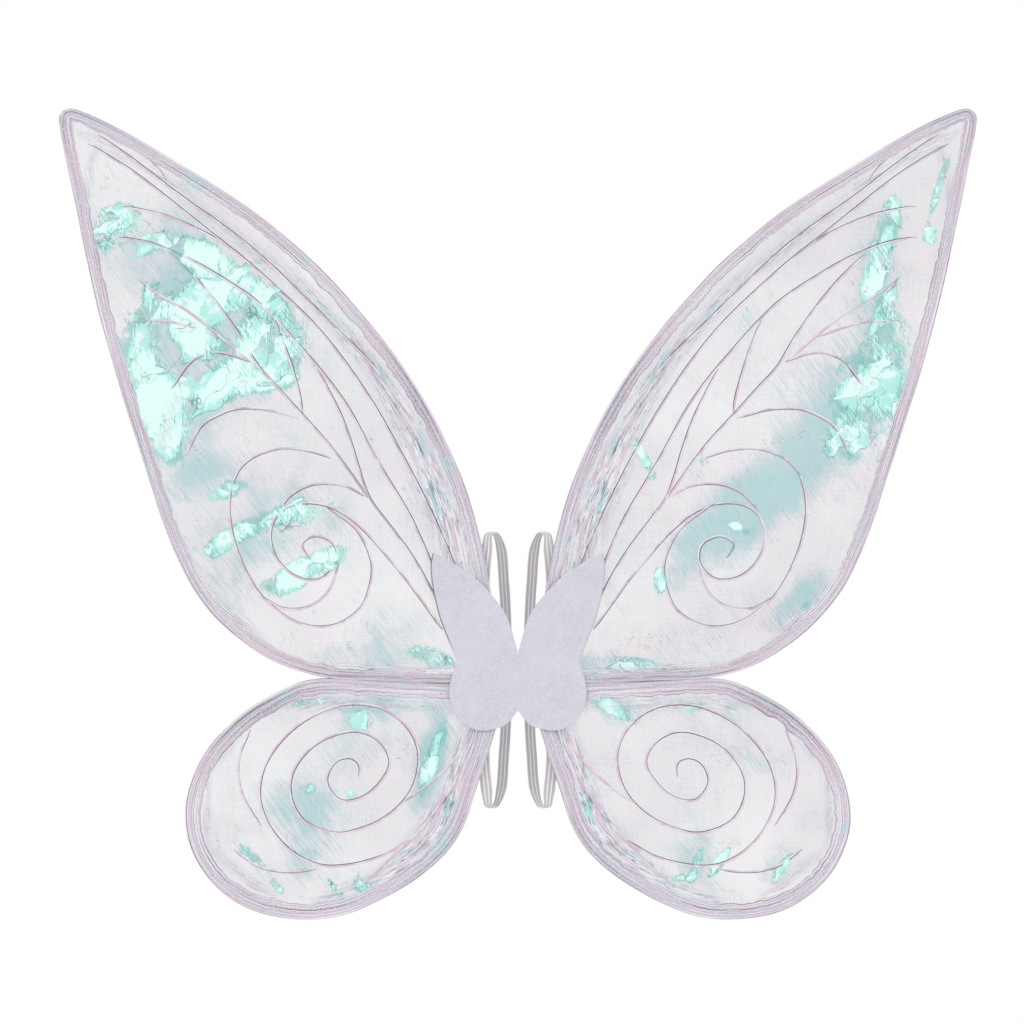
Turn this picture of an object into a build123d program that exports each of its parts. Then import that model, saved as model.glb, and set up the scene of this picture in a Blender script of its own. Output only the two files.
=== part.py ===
"""Fairy wings for fancy dress: four film wings on wire frames, joined by felt, with two elastic arm loops.

Frame, in millimetres: the wearer's back rests on the felt at y = 0, and the wings stand behind it, at -Y.
+X is the wearer's right, +Z is up, and the origin is the middle of the felt where the two sides fold.
Depth is measured from the wearer's back outwards, so a depth of d lies at y = -d.
"""

import os
from math import cos, pi, radians, sin, tan

from build123d import *

os.makedirs("parts", exist_ok=True)

# Driving dimensions: layers, from the wearer's back outwards
FELT = 1.5
WIRE_RADIUS = 0.8
HEM_WALL = 0.6
HEM_FLAT = 1.0
FILM = 0.25
RIB_HEIGHT = 0.4
THREAD_HEIGHT = 0.3

# Driving dimensions: widths
FOLD_X = 6.0
FOLD_GAP = 0.3
UPPER_BAND = 8.5
LOWER_BAND = 10.5
FILM_TUCK = 4.0
RIB_WIDTH = 1.3
THREAD_WIDTH = 0.5
ROOT_CUT_X = 16.5
INNER_FELT_INSET = 2.0

# Driving dimensions: wire, its channel in the hem and its joint
WIRE_CLEAR = 0.05
ROOT_RADIUS = 4.0
CRIMP_RADIUS = 1.3
CRIMP_LENGTH = 5.0
WIRE_END_GAP = 1.0
UPPER_JOINT_Z = -0.5
LOWER_JOINT_Z = -18.0

# Driving dimensions: elastic arm loops
STRAP_X = 23.0
STRAP_WIDTH = 8.0
STRAP_THICK = 1.0
LOOP_HALF_HEIGHT = 93.0
LOOP_DEPTH = 38.0
LOOP_TURN = 24.0
LOOP_CLEAR = 0.5
# Corners of the loop's bow above its middle, as shares of its depth and its half height
LOOP_BOW = ((0, 1), (0.45, 1), (0.84, 0.74), (1, 0.3))
TACK_LENGTH = 3.0
TACK_WIDTH = 6.5
TACK_HEIGHT = 0.4
TACK_LEVELS = (44.0, -26.0)

# Driving dimensions: tape in the fold
TAPE_TOP = 8.0
TAPE_BOTTOM = -26.0

# Derived layers
CORE = 2 * (WIRE_RADIUS + HEM_WALL)
CORE_NEAR = FELT
CORE_FAR = FELT + CORE
WING_DEPTH = FELT + CORE / 2
RIM_WIDTH = CORE
FAR_AWAY = 1000.0
ARC_SHARE = 0.4

# Outlines of the right-hand wings, as the corners that the rounded edge passes just inside, (x, z)
UPPER_OUTLINE = [
    (11, 6.5),
    (17, 47),
    (24, 84),
    (32, 115),
    (46, 151),
    (66, 189),
    (91, 225),
    (129, 269),
    (173, 308),
    (226, 342),
    (281, 373.5),
    (314, 385),
    (304, 337),
    (288, 258),
    (271, 195),
    (252, 137),
    (236, 86),
    (214, 43),
    (176, 10.5),
    (140, -4.1),
    (88, -6.3),
    (40, -8),
    (11, -7.5),
]
LOWER_OUTLINE = [
    (11, -10.6),
    (44, -9.4),
    (88, -7.1),
    (137, -4.9),
    (159, -12.5),
    (187, -28),
    (209, -50),
    (222, -74),
    (226.5, -100),
    (220.5, -124),
    (208, -144),
    (186, -161),
    (156, -169),
    (122, -168),
    (91, -155),
    (60, -136),
    (38, -112),
    (28, -79),
    (19, -54),
    (11, -26),
]

# Right half of the felt butterfly, from the notch between the upper lobes round to the lower notch
BUTTERFLY_HALF = [
    (0, 4),
    (7, 37),
    (25, 61),
    (61, 83.5),
    (59, 50),
    (50, 20),
    (38.5, 7),
    (47, -8),
    (46.5, -27),
    (33, -42),
    (12, -40),
    (0, -27),
]

# Raised ribs of the right-hand wings, each through a few points, (x, z)
UPPER_RIBS = [
    [(284, 362), (182, 288), (127, 235), (98, 208)],
    [(291, 356), (188, 281), (137, 234), (102, 187), (74, 138), (50, 90)],
    [(270, 293), (237, 285), (199, 265), (163, 237), (113, 175), (74, 107), (60, 77)],
    [(165, 237), (155, 212), (146, 174)],
    [(236, 282), (208, 254), (186, 223), (176, 205), (148, 175), (102, 117), (71, 77), (60, 56)],
    [(136, 204), (112, 151), (102, 117)],
    [(181, 209), (208, 232), (258, 266)],
    [(203, 227), (225, 234), (251, 237)],
]
UPPER_SWIRLS = [
    [(181, 209), (198, 215), (227, 203), (236, 189)],
    [(148, 172), (169, 177), (211, 169), (225, 145)],
    [
        (127, 144), (158, 151), (186, 140), (196, 111), (183, 64),
        (154, 34), (110, 38), (98, 65), (104, 88), (132, 113),
    ],
    [
        (58, 38), (88, 77), (118, 107), (140, 114), (168, 94),
        (162, 73), (144, 61), (123, 70), (129, 89), (147, 87),
    ],
]
LOWER_RIBS = [
    [(35, -46), (52, -70), (69, -82)],
    [(33, -48), (53, -90), (80, -121), (101, -143)],
    [(181, -40), (190, -67), (174, -105)],
    [(136, -134), (162, -136), (192, -122)],
]
SPIRAL_CENTRE = (116.0, -75.0)
SPIRAL_START_RADIUS = 9.0
SPIRAL_END_RADIUS = 58.0
SPIRAL_START_ANGLE = 167.0
SPIRAL_TURNS = 2.8
SPIRAL_POINTS_PER_TURN = 8

SIDES = {"right": 1, "left": -1}


def depth_plane(depth):
    """Vertical plane across the wings at a depth behind the wearer's back, facing outwards."""
    return Plane.XZ.offset(depth)


def to_side(points, side):
    """The same points on the right (1) or left (-1) of the middle."""
    return [(side * x, z) for x, z in points]


def arc_radii(points, closed=True, end_radius=None):
    """Arc radius at each corner, from ARC_SHARE of its shorter run; the end corners may have their own."""
    corners = [Vector(x, z) for x, z in points]
    before = corners[-1:] + corners[:-1]
    after = corners[1:] + corners[:1]
    radii = []
    for a, b, c in zip(before, corners, after):
        half_turn = radians((b - a).get_angle(c - b)) / 2
        reach = ARC_SHARE * min((b - a).length, (c - b).length)
        radii.append(reach / tan(half_turn))
    if end_radius:
        radii[0] = radii[-1] = end_radius
    return radii if closed else radii[1:-1]


def rounded_sketch(points, inset=0.0, end_radius=None):
    """Face inside a closed outline whose corners are all rounded, shrunk by an inset all round."""
    with BuildSketch(mode=Mode.PRIVATE) as sketch:
        with BuildLine():
            FilletPolyline(*points, radius=arc_radii(points, end_radius=end_radius), close=True)
        make_face()
        if inset:
            offset(amount=-inset)
    return sketch.sketch


def wing_sketch(points, inset=0.0):
    """Face inside a wing's outline, shrunk by an inset, with the wire's tight bends at the root."""
    return rounded_sketch(points, inset, ROOT_RADIUS)


def save(part, name):
    """Labels a finished piece and writes it to its own file."""
    part.label = name
    export_step(part, f"parts/{name}.step")


def beyond(side, x):
    """Everything further out to one side than x, as a block to cut with."""
    with BuildPart(mode=Mode.PRIVATE) as block:
        with Locations((side * (x + FAR_AWAY / 2), 0, 0)):
            Box(FAR_AWAY, FAR_AWAY, FAR_AWAY)
    return block.part


def wire_frame(points, side, joint_z):
    """Round steel wire bent to the outline, inside the hem, with its two ends meeting at the root."""
    centre_line = wing_sketch(points, RIM_WIDTH / 2).faces()[0]
    path = (depth_plane(WING_DEPTH) * centre_line).outer_wire()
    with BuildPart() as wire:
        with BuildSketch(Plane(origin=path @ 0, z_dir=path % 0)):
            Circle(WIRE_RADIUS)
        sweep(path=path, transition=Transition.ROUND)
    root_x = side * min(abs(v.X) for v in path.vertices())
    with BuildPart() as cut:
        add(wire.part)
        with Locations((root_x, -WING_DEPTH, joint_z)):
            Box(4 * WIRE_RADIUS, 4 * WIRE_RADIUS, WIRE_END_GAP, mode=Mode.SUBTRACT)
    return cut.part, root_x


def crimp_sleeve(root_x, joint_z):
    """Short tube squeezed over the two ends of the frame wire."""
    with BuildPart() as crimp:
        with BuildSketch(Plane.XY.offset(joint_z - CRIMP_LENGTH / 2)):
            with Locations((root_x, -WING_DEPTH)):
                Circle(CRIMP_RADIUS)
                Circle(WIRE_RADIUS, mode=Mode.SUBTRACT)
        extrude(amount=CRIMP_LENGTH)
    return crimp.part


def film_panel(points, side):
    """Film sheet, tucked a little way into the hem all round."""
    with BuildPart() as film:
        with BuildSketch(depth_plane(WING_DEPTH - FILM / 2)):
            add(wing_sketch(points, FILM_TUCK))
        extrude(amount=FILM)
        add(beyond(side, ROOT_CUT_X), mode=Mode.INTERSECT)
    return film.part


def edge_hem(points, side, band, film):
    """Hem of folded film: a hollow welt round the wire, then a flat band that grips the panel's edge."""
    channel_reach = WIRE_RADIUS + WIRE_CLEAR
    with BuildPart() as hem:
        with BuildSketch(depth_plane(CORE_NEAR)):
            add(wing_sketch(points))
            add(wing_sketch(points, RIM_WIDTH), mode=Mode.SUBTRACT)
        extrude(amount=CORE)
        with BuildSketch(depth_plane(WING_DEPTH - HEM_FLAT / 2)):
            add(wing_sketch(points, RIM_WIDTH - HEM_WALL / 2))
            add(wing_sketch(points, band), mode=Mode.SUBTRACT)
        extrude(amount=HEM_FLAT)
        with BuildSketch(depth_plane(WING_DEPTH - channel_reach)):
            add(wing_sketch(points, RIM_WIDTH / 2 - channel_reach))
            add(wing_sketch(points, RIM_WIDTH / 2 + channel_reach), mode=Mode.SUBTRACT)
        extrude(amount=2 * channel_reach, mode=Mode.SUBTRACT)
        add(beyond(side, ROOT_CUT_X), mode=Mode.INTERSECT)
        add(film, mode=Mode.SUBTRACT)
    return hem.part


def hem_stitching(points, side, band):
    """Line of thread round the flat of the hem, on its outer face."""
    middle = (RIM_WIDTH + band) / 2
    with BuildPart() as thread:
        with BuildSketch(depth_plane(WING_DEPTH + HEM_FLAT / 2)):
            add(wing_sketch(points, middle - THREAD_WIDTH / 2))
            add(wing_sketch(points, middle + THREAD_WIDTH / 2), mode=Mode.SUBTRACT)
        extrude(amount=THREAD_HEIGHT)
        add(beyond(side, ROOT_CUT_X), mode=Mode.INTERSECT)
    return thread.part


def raised_lines(routes, outline, band, clear_of=None):
    """Ribs or swirls standing on the film's outer face, kept inside the hem and clear of other lines."""
    with BuildPart() as lines:
        with BuildSketch(depth_plane(WING_DEPTH + FILM / 2)):
            for route in routes:
                with BuildLine() as line:
                    Spline(*route)
                trace(line.line, line_width=RIB_WIDTH)
            add(wing_sketch(outline, band + RIB_WIDTH / 2), mode=Mode.INTERSECT)
        extrude(amount=RIB_HEIGHT)
        if clear_of:
            add(clear_of, mode=Mode.SUBTRACT)
    return lines.part


def spiral_route(side):
    """Points of a spiral whose radius grows evenly with its angle, turning clockwise on the right."""
    count = round(SPIRAL_TURNS * SPIRAL_POINTS_PER_TURN)
    route = []
    for step in range(count + 1):
        share = step / count
        radius = SPIRAL_START_RADIUS + (SPIRAL_END_RADIUS - SPIRAL_START_RADIUS) * share
        angle = radians(SPIRAL_START_ANGLE) - 2 * pi * SPIRAL_TURNS * share
        route.append((SPIRAL_CENTRE[0] + radius * cos(angle), SPIRAL_CENTRE[1] + radius * sin(angle)))
    return to_side(route, side)


def felt_butterfly(depth, inset):
    """Whole felt butterfly at a depth, before it is parted at the two fold lines."""
    outline = BUTTERFLY_HALF + [(-x, z) for x, z in BUTTERFLY_HALF[-2:0:-1]]
    with BuildPart() as felt:
        with BuildSketch(depth_plane(depth)):
            add(rounded_sketch(outline, inset))
        extrude(amount=FELT)
    return felt.part


def felt_side(felt, side):
    """The part of a felt butterfly that folds with one pair of wings."""
    with BuildPart() as half:
        add(felt)
        add(beyond(side, FOLD_X + FOLD_GAP / 2), mode=Mode.INTERSECT)
    return half.part


def felt_middle(felt):
    """The part of a felt butterfly between the two fold lines."""
    with BuildPart() as middle:
        add(felt)
        Box(2 * FOLD_X - FOLD_GAP, FAR_AWAY, FAR_AWAY, mode=Mode.INTERSECT)
    return middle.part


def sewn_strap_leg(side):
    """Straight leg of an arm loop, sewn flat along the inner felt."""
    with BuildPart() as leg:
        with Locations((side * STRAP_X, STRAP_THICK / 2, 0)):
            Box(STRAP_WIDTH, STRAP_THICK, 2 * (LOOP_HALF_HEIGHT - STRAP_THICK / 2 - LOOP_CLEAR))
    return leg.part


def strap_loop(side):
    """Free leg of an arm loop: elastic that leaves the sewn leg's ends and bows out for the arm."""
    turn = radians(LOOP_TURN)
    # In the loop's own plane, x runs away from the sewn leg and y runs up.
    away = Vector(-side * sin(turn), cos(turn), 0)
    up = Vector(0, 0, 1)
    plane = Plane(origin=(side * STRAP_X, STRAP_THICK / 2, 0), x_dir=away, z_dir=away.cross(up))
    upper_half = [(out * LOOP_DEPTH, height * LOOP_HALF_HEIGHT) for out, height in LOOP_BOW]
    route = upper_half + [(x, -y) for x, y in reversed(upper_half)]
    with BuildPart() as loop:
        with BuildSketch(plane):
            with BuildLine() as bow:
                FilletPolyline(*route, radius=arc_radii(route, closed=False))
            trace(bow.line, line_width=STRAP_THICK)
        extrude(amount=STRAP_WIDTH / 2, both=True)
    return loop.part


def bar_tacks(side):
    """Blocks of close stitching that hold the sewn leg to the felt."""
    with BuildPart() as tacks:
        for level in TACK_LEVELS:
            with Locations((side * STRAP_X, STRAP_THICK + TACK_HEIGHT / 2, level)):
                Box(TACK_WIDTH, TACK_HEIGHT, TACK_LENGTH)
    return tacks.part


# Upper and lower wings, on both sides
WINGS = {
    "upper": (UPPER_OUTLINE, UPPER_BAND, UPPER_RIBS, UPPER_JOINT_Z),
    "lower": (LOWER_OUTLINE, LOWER_BAND, LOWER_RIBS, LOWER_JOINT_Z),
}
for side_name, side in SIDES.items():
    for level_name, (outline, band, ribs, joint_z) in WINGS.items():
        points = to_side(outline, side)
        wire, root_x = wire_frame(points, side, joint_z)
        film = film_panel(points, side)
        save(wire, f"{level_name}_{side_name}_wire_frame")
        save(crimp_sleeve(root_x, joint_z), f"{level_name}_{side_name}_crimp_sleeve")
        save(film, f"{level_name}_{side_name}_film")
        save(edge_hem(points, side, band, film), f"{level_name}_{side_name}_hem")
        save(hem_stitching(points, side, band), f"{level_name}_{side_name}_hem_thread")
        rib_routes = [to_side(route, side) for route in ribs]
        rib_lines = raised_lines(rib_routes, points, band)
        save(rib_lines, f"{level_name}_{side_name}_ribs")
        is_upper = level_name == "upper"
        swirls = [to_side(route, side) for route in UPPER_SWIRLS] if is_upper else [spiral_route(side)]
        save(raised_lines(swirls, points, band, rib_lines), f"{level_name}_{side_name}_swirls")

# Felt butterflies, parted at the fold lines
inner_felt = felt_butterfly(0, INNER_FELT_INSET)
outer_felt = felt_butterfly(CORE_FAR, 0)
save(felt_middle(inner_felt), "inner_felt_middle")
save(felt_middle(outer_felt), "outer_felt_middle")
for side_name, side in SIDES.items():
    save(felt_side(inner_felt, side), f"inner_felt_{side_name}")
    save(felt_side(outer_felt, side), f"outer_felt_{side_name}")

# Tape between the felts, which the sides fold round
with BuildPart() as fold_tape:
    with Locations((0, -WING_DEPTH, (TAPE_TOP + TAPE_BOTTOM) / 2)):
        Box(2 * FOLD_X - FOLD_GAP, CORE, TAPE_TOP - TAPE_BOTTOM)
save(fold_tape.part, "fold_tape")

# Elastic arm loops
for side_name, side in SIDES.items():
    save(sewn_strap_leg(side), f"{side_name}_strap_sewn_leg")
    save(strap_loop(side), f"{side_name}_strap_loop")
    save(bar_tacks(side), f"{side_name}_strap_tacks")
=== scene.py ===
"""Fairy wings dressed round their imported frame: iridescent film, gathered hems, raised ribs, felt and elastic.

All lengths are in metres, in the frame's own axes: the wearer's back is at y = 0 and the wings stand at -Y.
Shapes are worked out for the right-hand side, where x is positive, and turned to the other side by its sign.
"""

import sys

import logging
import math
from dataclasses import dataclass, field
from enum import Enum

import bmesh
import bpy
import numpy as np
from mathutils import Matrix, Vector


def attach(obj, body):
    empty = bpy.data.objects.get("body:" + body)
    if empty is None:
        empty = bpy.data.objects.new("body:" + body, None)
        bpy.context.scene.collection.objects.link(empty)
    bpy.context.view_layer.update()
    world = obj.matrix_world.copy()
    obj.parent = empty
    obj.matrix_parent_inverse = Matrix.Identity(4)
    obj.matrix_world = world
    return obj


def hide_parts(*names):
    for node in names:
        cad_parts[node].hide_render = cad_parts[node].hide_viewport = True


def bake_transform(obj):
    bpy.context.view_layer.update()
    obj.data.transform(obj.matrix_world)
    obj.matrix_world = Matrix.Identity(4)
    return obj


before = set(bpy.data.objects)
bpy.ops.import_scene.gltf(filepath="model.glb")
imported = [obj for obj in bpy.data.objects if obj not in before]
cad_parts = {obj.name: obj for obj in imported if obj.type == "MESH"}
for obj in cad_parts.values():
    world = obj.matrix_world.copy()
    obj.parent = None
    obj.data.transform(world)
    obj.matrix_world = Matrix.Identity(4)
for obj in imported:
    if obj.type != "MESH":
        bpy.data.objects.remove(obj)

Array = np.ndarray
Socket = bpy.types.NodeSocket
log = logging.getLogger("fairy_wings")

MM = 0.001
FELT = 1.5 * MM
WIRE_ROOM = 2.8 * MM
WING_DEPTH = FELT + WIRE_ROOM / 2
OUTLINE_STEP = 1.5 * MM
LINE_STEP = 1.6 * MM
OUTLINE_DRAFT = 1500
ARC_STEPS = 24
CURVE_STEPS = 40
THREAD_SIDES = 6
TAU = 2 * math.pi


class Side(Enum):
    """The wearer's side that a piece belongs to, with the sign of its x."""

    RIGHT = 1
    LEFT = -1

    @property
    def word(self) -> str:
        """The side as it stands in the names of pieces and bodies."""
        return self.name.lower()


# ---------------------------------------------------------------- curves and fields


def running_length(path: Array) -> Array:
    """Length of a path from its start to each of its points."""
    return np.concatenate([[0.0], np.cumsum(np.linalg.norm(np.diff(path, axis=0), axis=1))])


def even_steps(path: Array, count: int) -> Array:
    """Points evenly spaced along a path.

    Args:
        path: the path's points, one a row.
        count: how many points to give back, both ends included.

    Returns:
        Points at equal steps of the path's running length, read between its own points.
    """
    run = running_length(path)
    wanted = np.linspace(0.0, run[-1], count)
    return np.stack([np.interp(wanted, run, column) for column in path.T], axis=1)


def rounded_path(corners: Array, count: int, closed: bool = False) -> Array:
    """Smooth path that touches the middle of each side of a run of corners.

    Each corner P, with the middles A and B of its two sides, gives (1-t)^2 A + 2t(1-t) P + t^2 B.

    Args:
        corners: the corners, one a row.
        count: how many points to give back.
        closed: whether the last corner joins the first.

    Returns:
        Evenly spaced points; a closed path ends where it starts.
    """
    if closed:
        tips = corners
        starts = (np.roll(corners, 1, axis=0) + corners) / 2
        ends = (corners + np.roll(corners, -1, axis=0)) / 2
    else:
        middles = (corners[:-1] + corners[1:]) / 2
        tips = corners[1:-1]
        starts = np.concatenate([corners[:1], middles[1:-1]])
        ends = np.concatenate([middles[1:-1], corners[-1:]])
    t = np.linspace(0.0, 1.0, ARC_STEPS, endpoint=False)[None, :, None]
    arcs = (1 - t) ** 2 * starts[:, None] + 2 * t * (1 - t) * tips[:, None] + t**2 * ends[:, None]
    whole = np.concatenate([arcs.reshape(-1, corners.shape[1]), ends[-1:]])
    return even_steps(whole, count)


def drawn_line(points: Array, spacing: float) -> Array:
    """Smooth line through points: cubic pieces whose slope at a point is that of its two neighbours.

    Args:
        points: the points that the line passes, one a row.
        spacing: length of one step along the line.

    Returns:
        Points along the line, evenly spaced.
    """
    knots = np.concatenate([[0.0], np.cumsum(np.linalg.norm(np.diff(points, axis=0), axis=1) ** 0.6)])
    slopes = np.gradient(points, knots, axis=0)
    fine = np.linspace(0.0, knots[-1], CURVE_STEPS * len(points))
    piece = np.clip(np.searchsorted(knots, fine, side="right") - 1, 0, len(points) - 2)
    width = (knots[piece + 1] - knots[piece])[:, None]
    t = (fine[:, None] - knots[piece][:, None]) / width
    line = (
        (2 * t**3 - 3 * t**2 + 1) * points[piece]
        + (t**3 - 2 * t**2 + t) * width * slopes[piece]
        + (3 * t**2 - 2 * t**3) * points[piece + 1]
        + (t**3 - t**2) * width * slopes[piece + 1]
    )
    return even_steps(line, max(6, round(path_length(line) / spacing)))


def ripple(x: Array, z: Array, pitch: float, seed: int, layers: int = 7) -> Array:
    """Smooth random field of about -1 to 1: sine waves of random heading and phase, added up.

    Args:
        x: first coordinate of each place.
        z: second coordinate of each place.
        pitch: about the length of one wave.
        seed: picks the field.
        layers: how many waves are added.

    Returns:
        The field's value at each place.
    """
    draw = np.random.default_rng(seed)
    total = np.zeros(np.broadcast(x, z).shape)
    for heading, phase, stretch in draw.uniform((0, 0, 0.7), (TAU, TAU, 1.5), (layers, 3)):
        along = x * math.cos(heading) + z * math.sin(heading)
        total += np.sin(TAU * along / (pitch * stretch) + phase)
    return total / math.sqrt(layers)


def ripple_along(run: Array, pitch: float, seed: int) -> Array:
    """The same field, read along a line: it changes only with the metres run."""
    return ripple(run, np.zeros_like(run), pitch, seed)


def ease(x: Array) -> Array:
    """Smooth step from 0 to 1 as x goes from 0 to 1: 3x^2 - 2x^3."""
    x = np.clip(x, 0.0, 1.0)
    return x * x * (3 - 2 * x)


def unit(vectors: Array) -> Array:
    """Vectors along the last axis, cut to length 1."""
    return vectors / np.linalg.norm(vectors, axis=-1, keepdims=True)


def headings(path: Array) -> Array:
    """Unit direction of a path at each of its points."""
    return unit(np.gradient(path, axis=0))


def path_length(path: Array) -> float:
    """Sum of the steps between a path's points."""
    return float(np.linalg.norm(np.diff(path, axis=0), axis=1).sum())


def round_section(radius: float) -> Array:
    """Section of a thread: radius times (cosine, sine) at equal angles."""
    angles = np.linspace(0, TAU, THREAD_SIDES + 1)[:-1]
    return radius * np.stack([np.cos(angles), np.sin(angles)], axis=1)


# ---------------------------------------------------------------- meshes


def grid_faces(rows: int, cols: int, wrap: bool) -> tuple[Array, Array]:
    """Quads of a grid of points, and the places of their corners in a grid that doesn't wrap.

    Args:
        rows: points along the first way.
        cols: points along the second way.
        wrap: whether the last column joins the first.

    Returns:
        Indices of the points round each quad, and the same for a grid with a column more when it wraps.
    """
    r, c = np.meshgrid(np.arange(rows - 1), np.arange(cols if wrap else cols - 1), indexing="ij")
    r, c = r.ravel(), c.ravel()
    around = [(r, c), (r + 1, c), (r + 1, c + 1), (r, c + 1)]
    wide = cols + 1 if wrap else cols
    faces = np.stack([i * cols + j % cols for i, j in around], axis=1)
    corners = np.stack([i * wide + j for i, j in around], axis=1)
    return faces, corners


def skin(
    name: str, points: Array, uv: Array, wrap: bool = False, outward: Array | None = None
) -> bpy.types.Object:
    """Smooth mesh over a grid of points. A wrapped grid is a tube, and its two ends are closed.

    Args:
        name: the piece's name.
        points: the grid, rows by columns by 3.
        uv: the pattern's coordinates, rows by columns (one column more when wrapped) by 2.
        wrap: whether the last column joins the first.
        outward: for an open sheet, the way that its front looks.

    Returns:
        The new object, whose faces look outwards.
    """
    rows, cols = points.shape[:2]
    flat = points.reshape(-1, 3)
    faces, corners = grid_faces(rows, cols, wrap)
    quad = flat[faces]
    normals = np.cross(quad[:, 2] - quad[:, 0], quad[:, 3] - quad[:, 1])
    toward = quad.mean(axis=1) - flat.mean(axis=0) if outward is None else outward
    # The volume that the faces enclose, or how far they face the wanted way, has to be positive.
    flipped = np.einsum("ij,ij->", normals, np.broadcast_to(toward, normals.shape)) < 0
    if flipped:
        faces, corners = faces[:, ::-1], corners[:, ::-1]
    polygons = faces.tolist()
    pattern = uv.reshape(-1, 2)
    marks = pattern[corners.ravel()]
    if wrap:
        edge = np.arange(cols)
        first, last = (edge[::-1], edge) if flipped else (edge, edge[::-1])
        polygons += [first.tolist(), (last + (rows - 1) * cols).tolist()]
        marks = np.concatenate([marks, pattern[first], pattern[last + (rows - 1) * (cols + 1)]])
    mesh = bpy.data.meshes.new(name)
    mesh.from_pydata(flat.tolist(), [], polygons)
    mesh.uv_layers.new(name="pattern").data.foreach_set("uv", marks.astype(np.float32).ravel())
    mesh.polygons.foreach_set("use_smooth", np.ones(len(polygons), dtype=bool))
    mesh.update()
    piece = bpy.data.objects.new(name, mesh)
    bpy.context.scene.collection.objects.link(piece)
    return piece


def note_points(piece: bpy.types.Object, name: str, values: Array) -> None:
    """Writes one number for each point of a piece, which its material can read by name."""
    attribute = piece.data.attributes.new(name, "FLOAT", "POINT")
    attribute.data.foreach_set("value", values.astype(np.float32).ravel())


def sweep(path: Array, across: Array, up: Array, section: Array) -> Array:
    """Grid of points made by carrying a section along a path: path + across * first + up * second.

    Args:
        path: points of the path, n by 3.
        across: unit sideways direction at each point, n by 3.
        up: unit upward direction at each point, n by 3.
        section: the section's (sideways, upward) places, m by 2, or n by m by 2 where it changes.

    Returns:
        Points, n by m by 3.
    """
    section = np.broadcast_to(section, (len(path), *section.shape[-2:]))
    return path[:, None] + across[:, None] * section[..., :1] + up[:, None] * section[..., 1:]


def joined(name: str, parts: list[bpy.types.Object]) -> bpy.types.Object:
    """One object made of several, under a new name."""
    bpy.ops.object.select_all(action="DESELECT")
    for part in parts:
        part.select_set(True)
    bpy.context.view_layer.objects.active = parts[0]
    bpy.ops.object.join()
    parts[0].name = parts[0].data.name = name
    return parts[0]


def strip_uv(rows: int, cols: int, length: float, wrap: bool = True) -> Array:
    """Pattern coordinates of a swept piece: metres along it, and 0 to 1 round its section."""
    along = np.linspace(0.0, length, rows)
    around = np.linspace(0.0, 1.0, cols + 1 if wrap else cols)
    return np.stack(np.meshgrid(along, around, indexing="ij"), axis=-1)


# ---------------------------------------------------------------- materials


def shade(red: int, green: int, blue: int) -> tuple[float, float, float, float]:
    """A colour given as 0 to 255 on a screen, as the light it stands for."""
    parts = [c / 255 for c in (red, green, blue)]
    return (*[c / 12.92 if c <= 0.04045 else ((c + 0.055) / 1.055) ** 2.4 for c in parts], 1.0)


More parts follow.
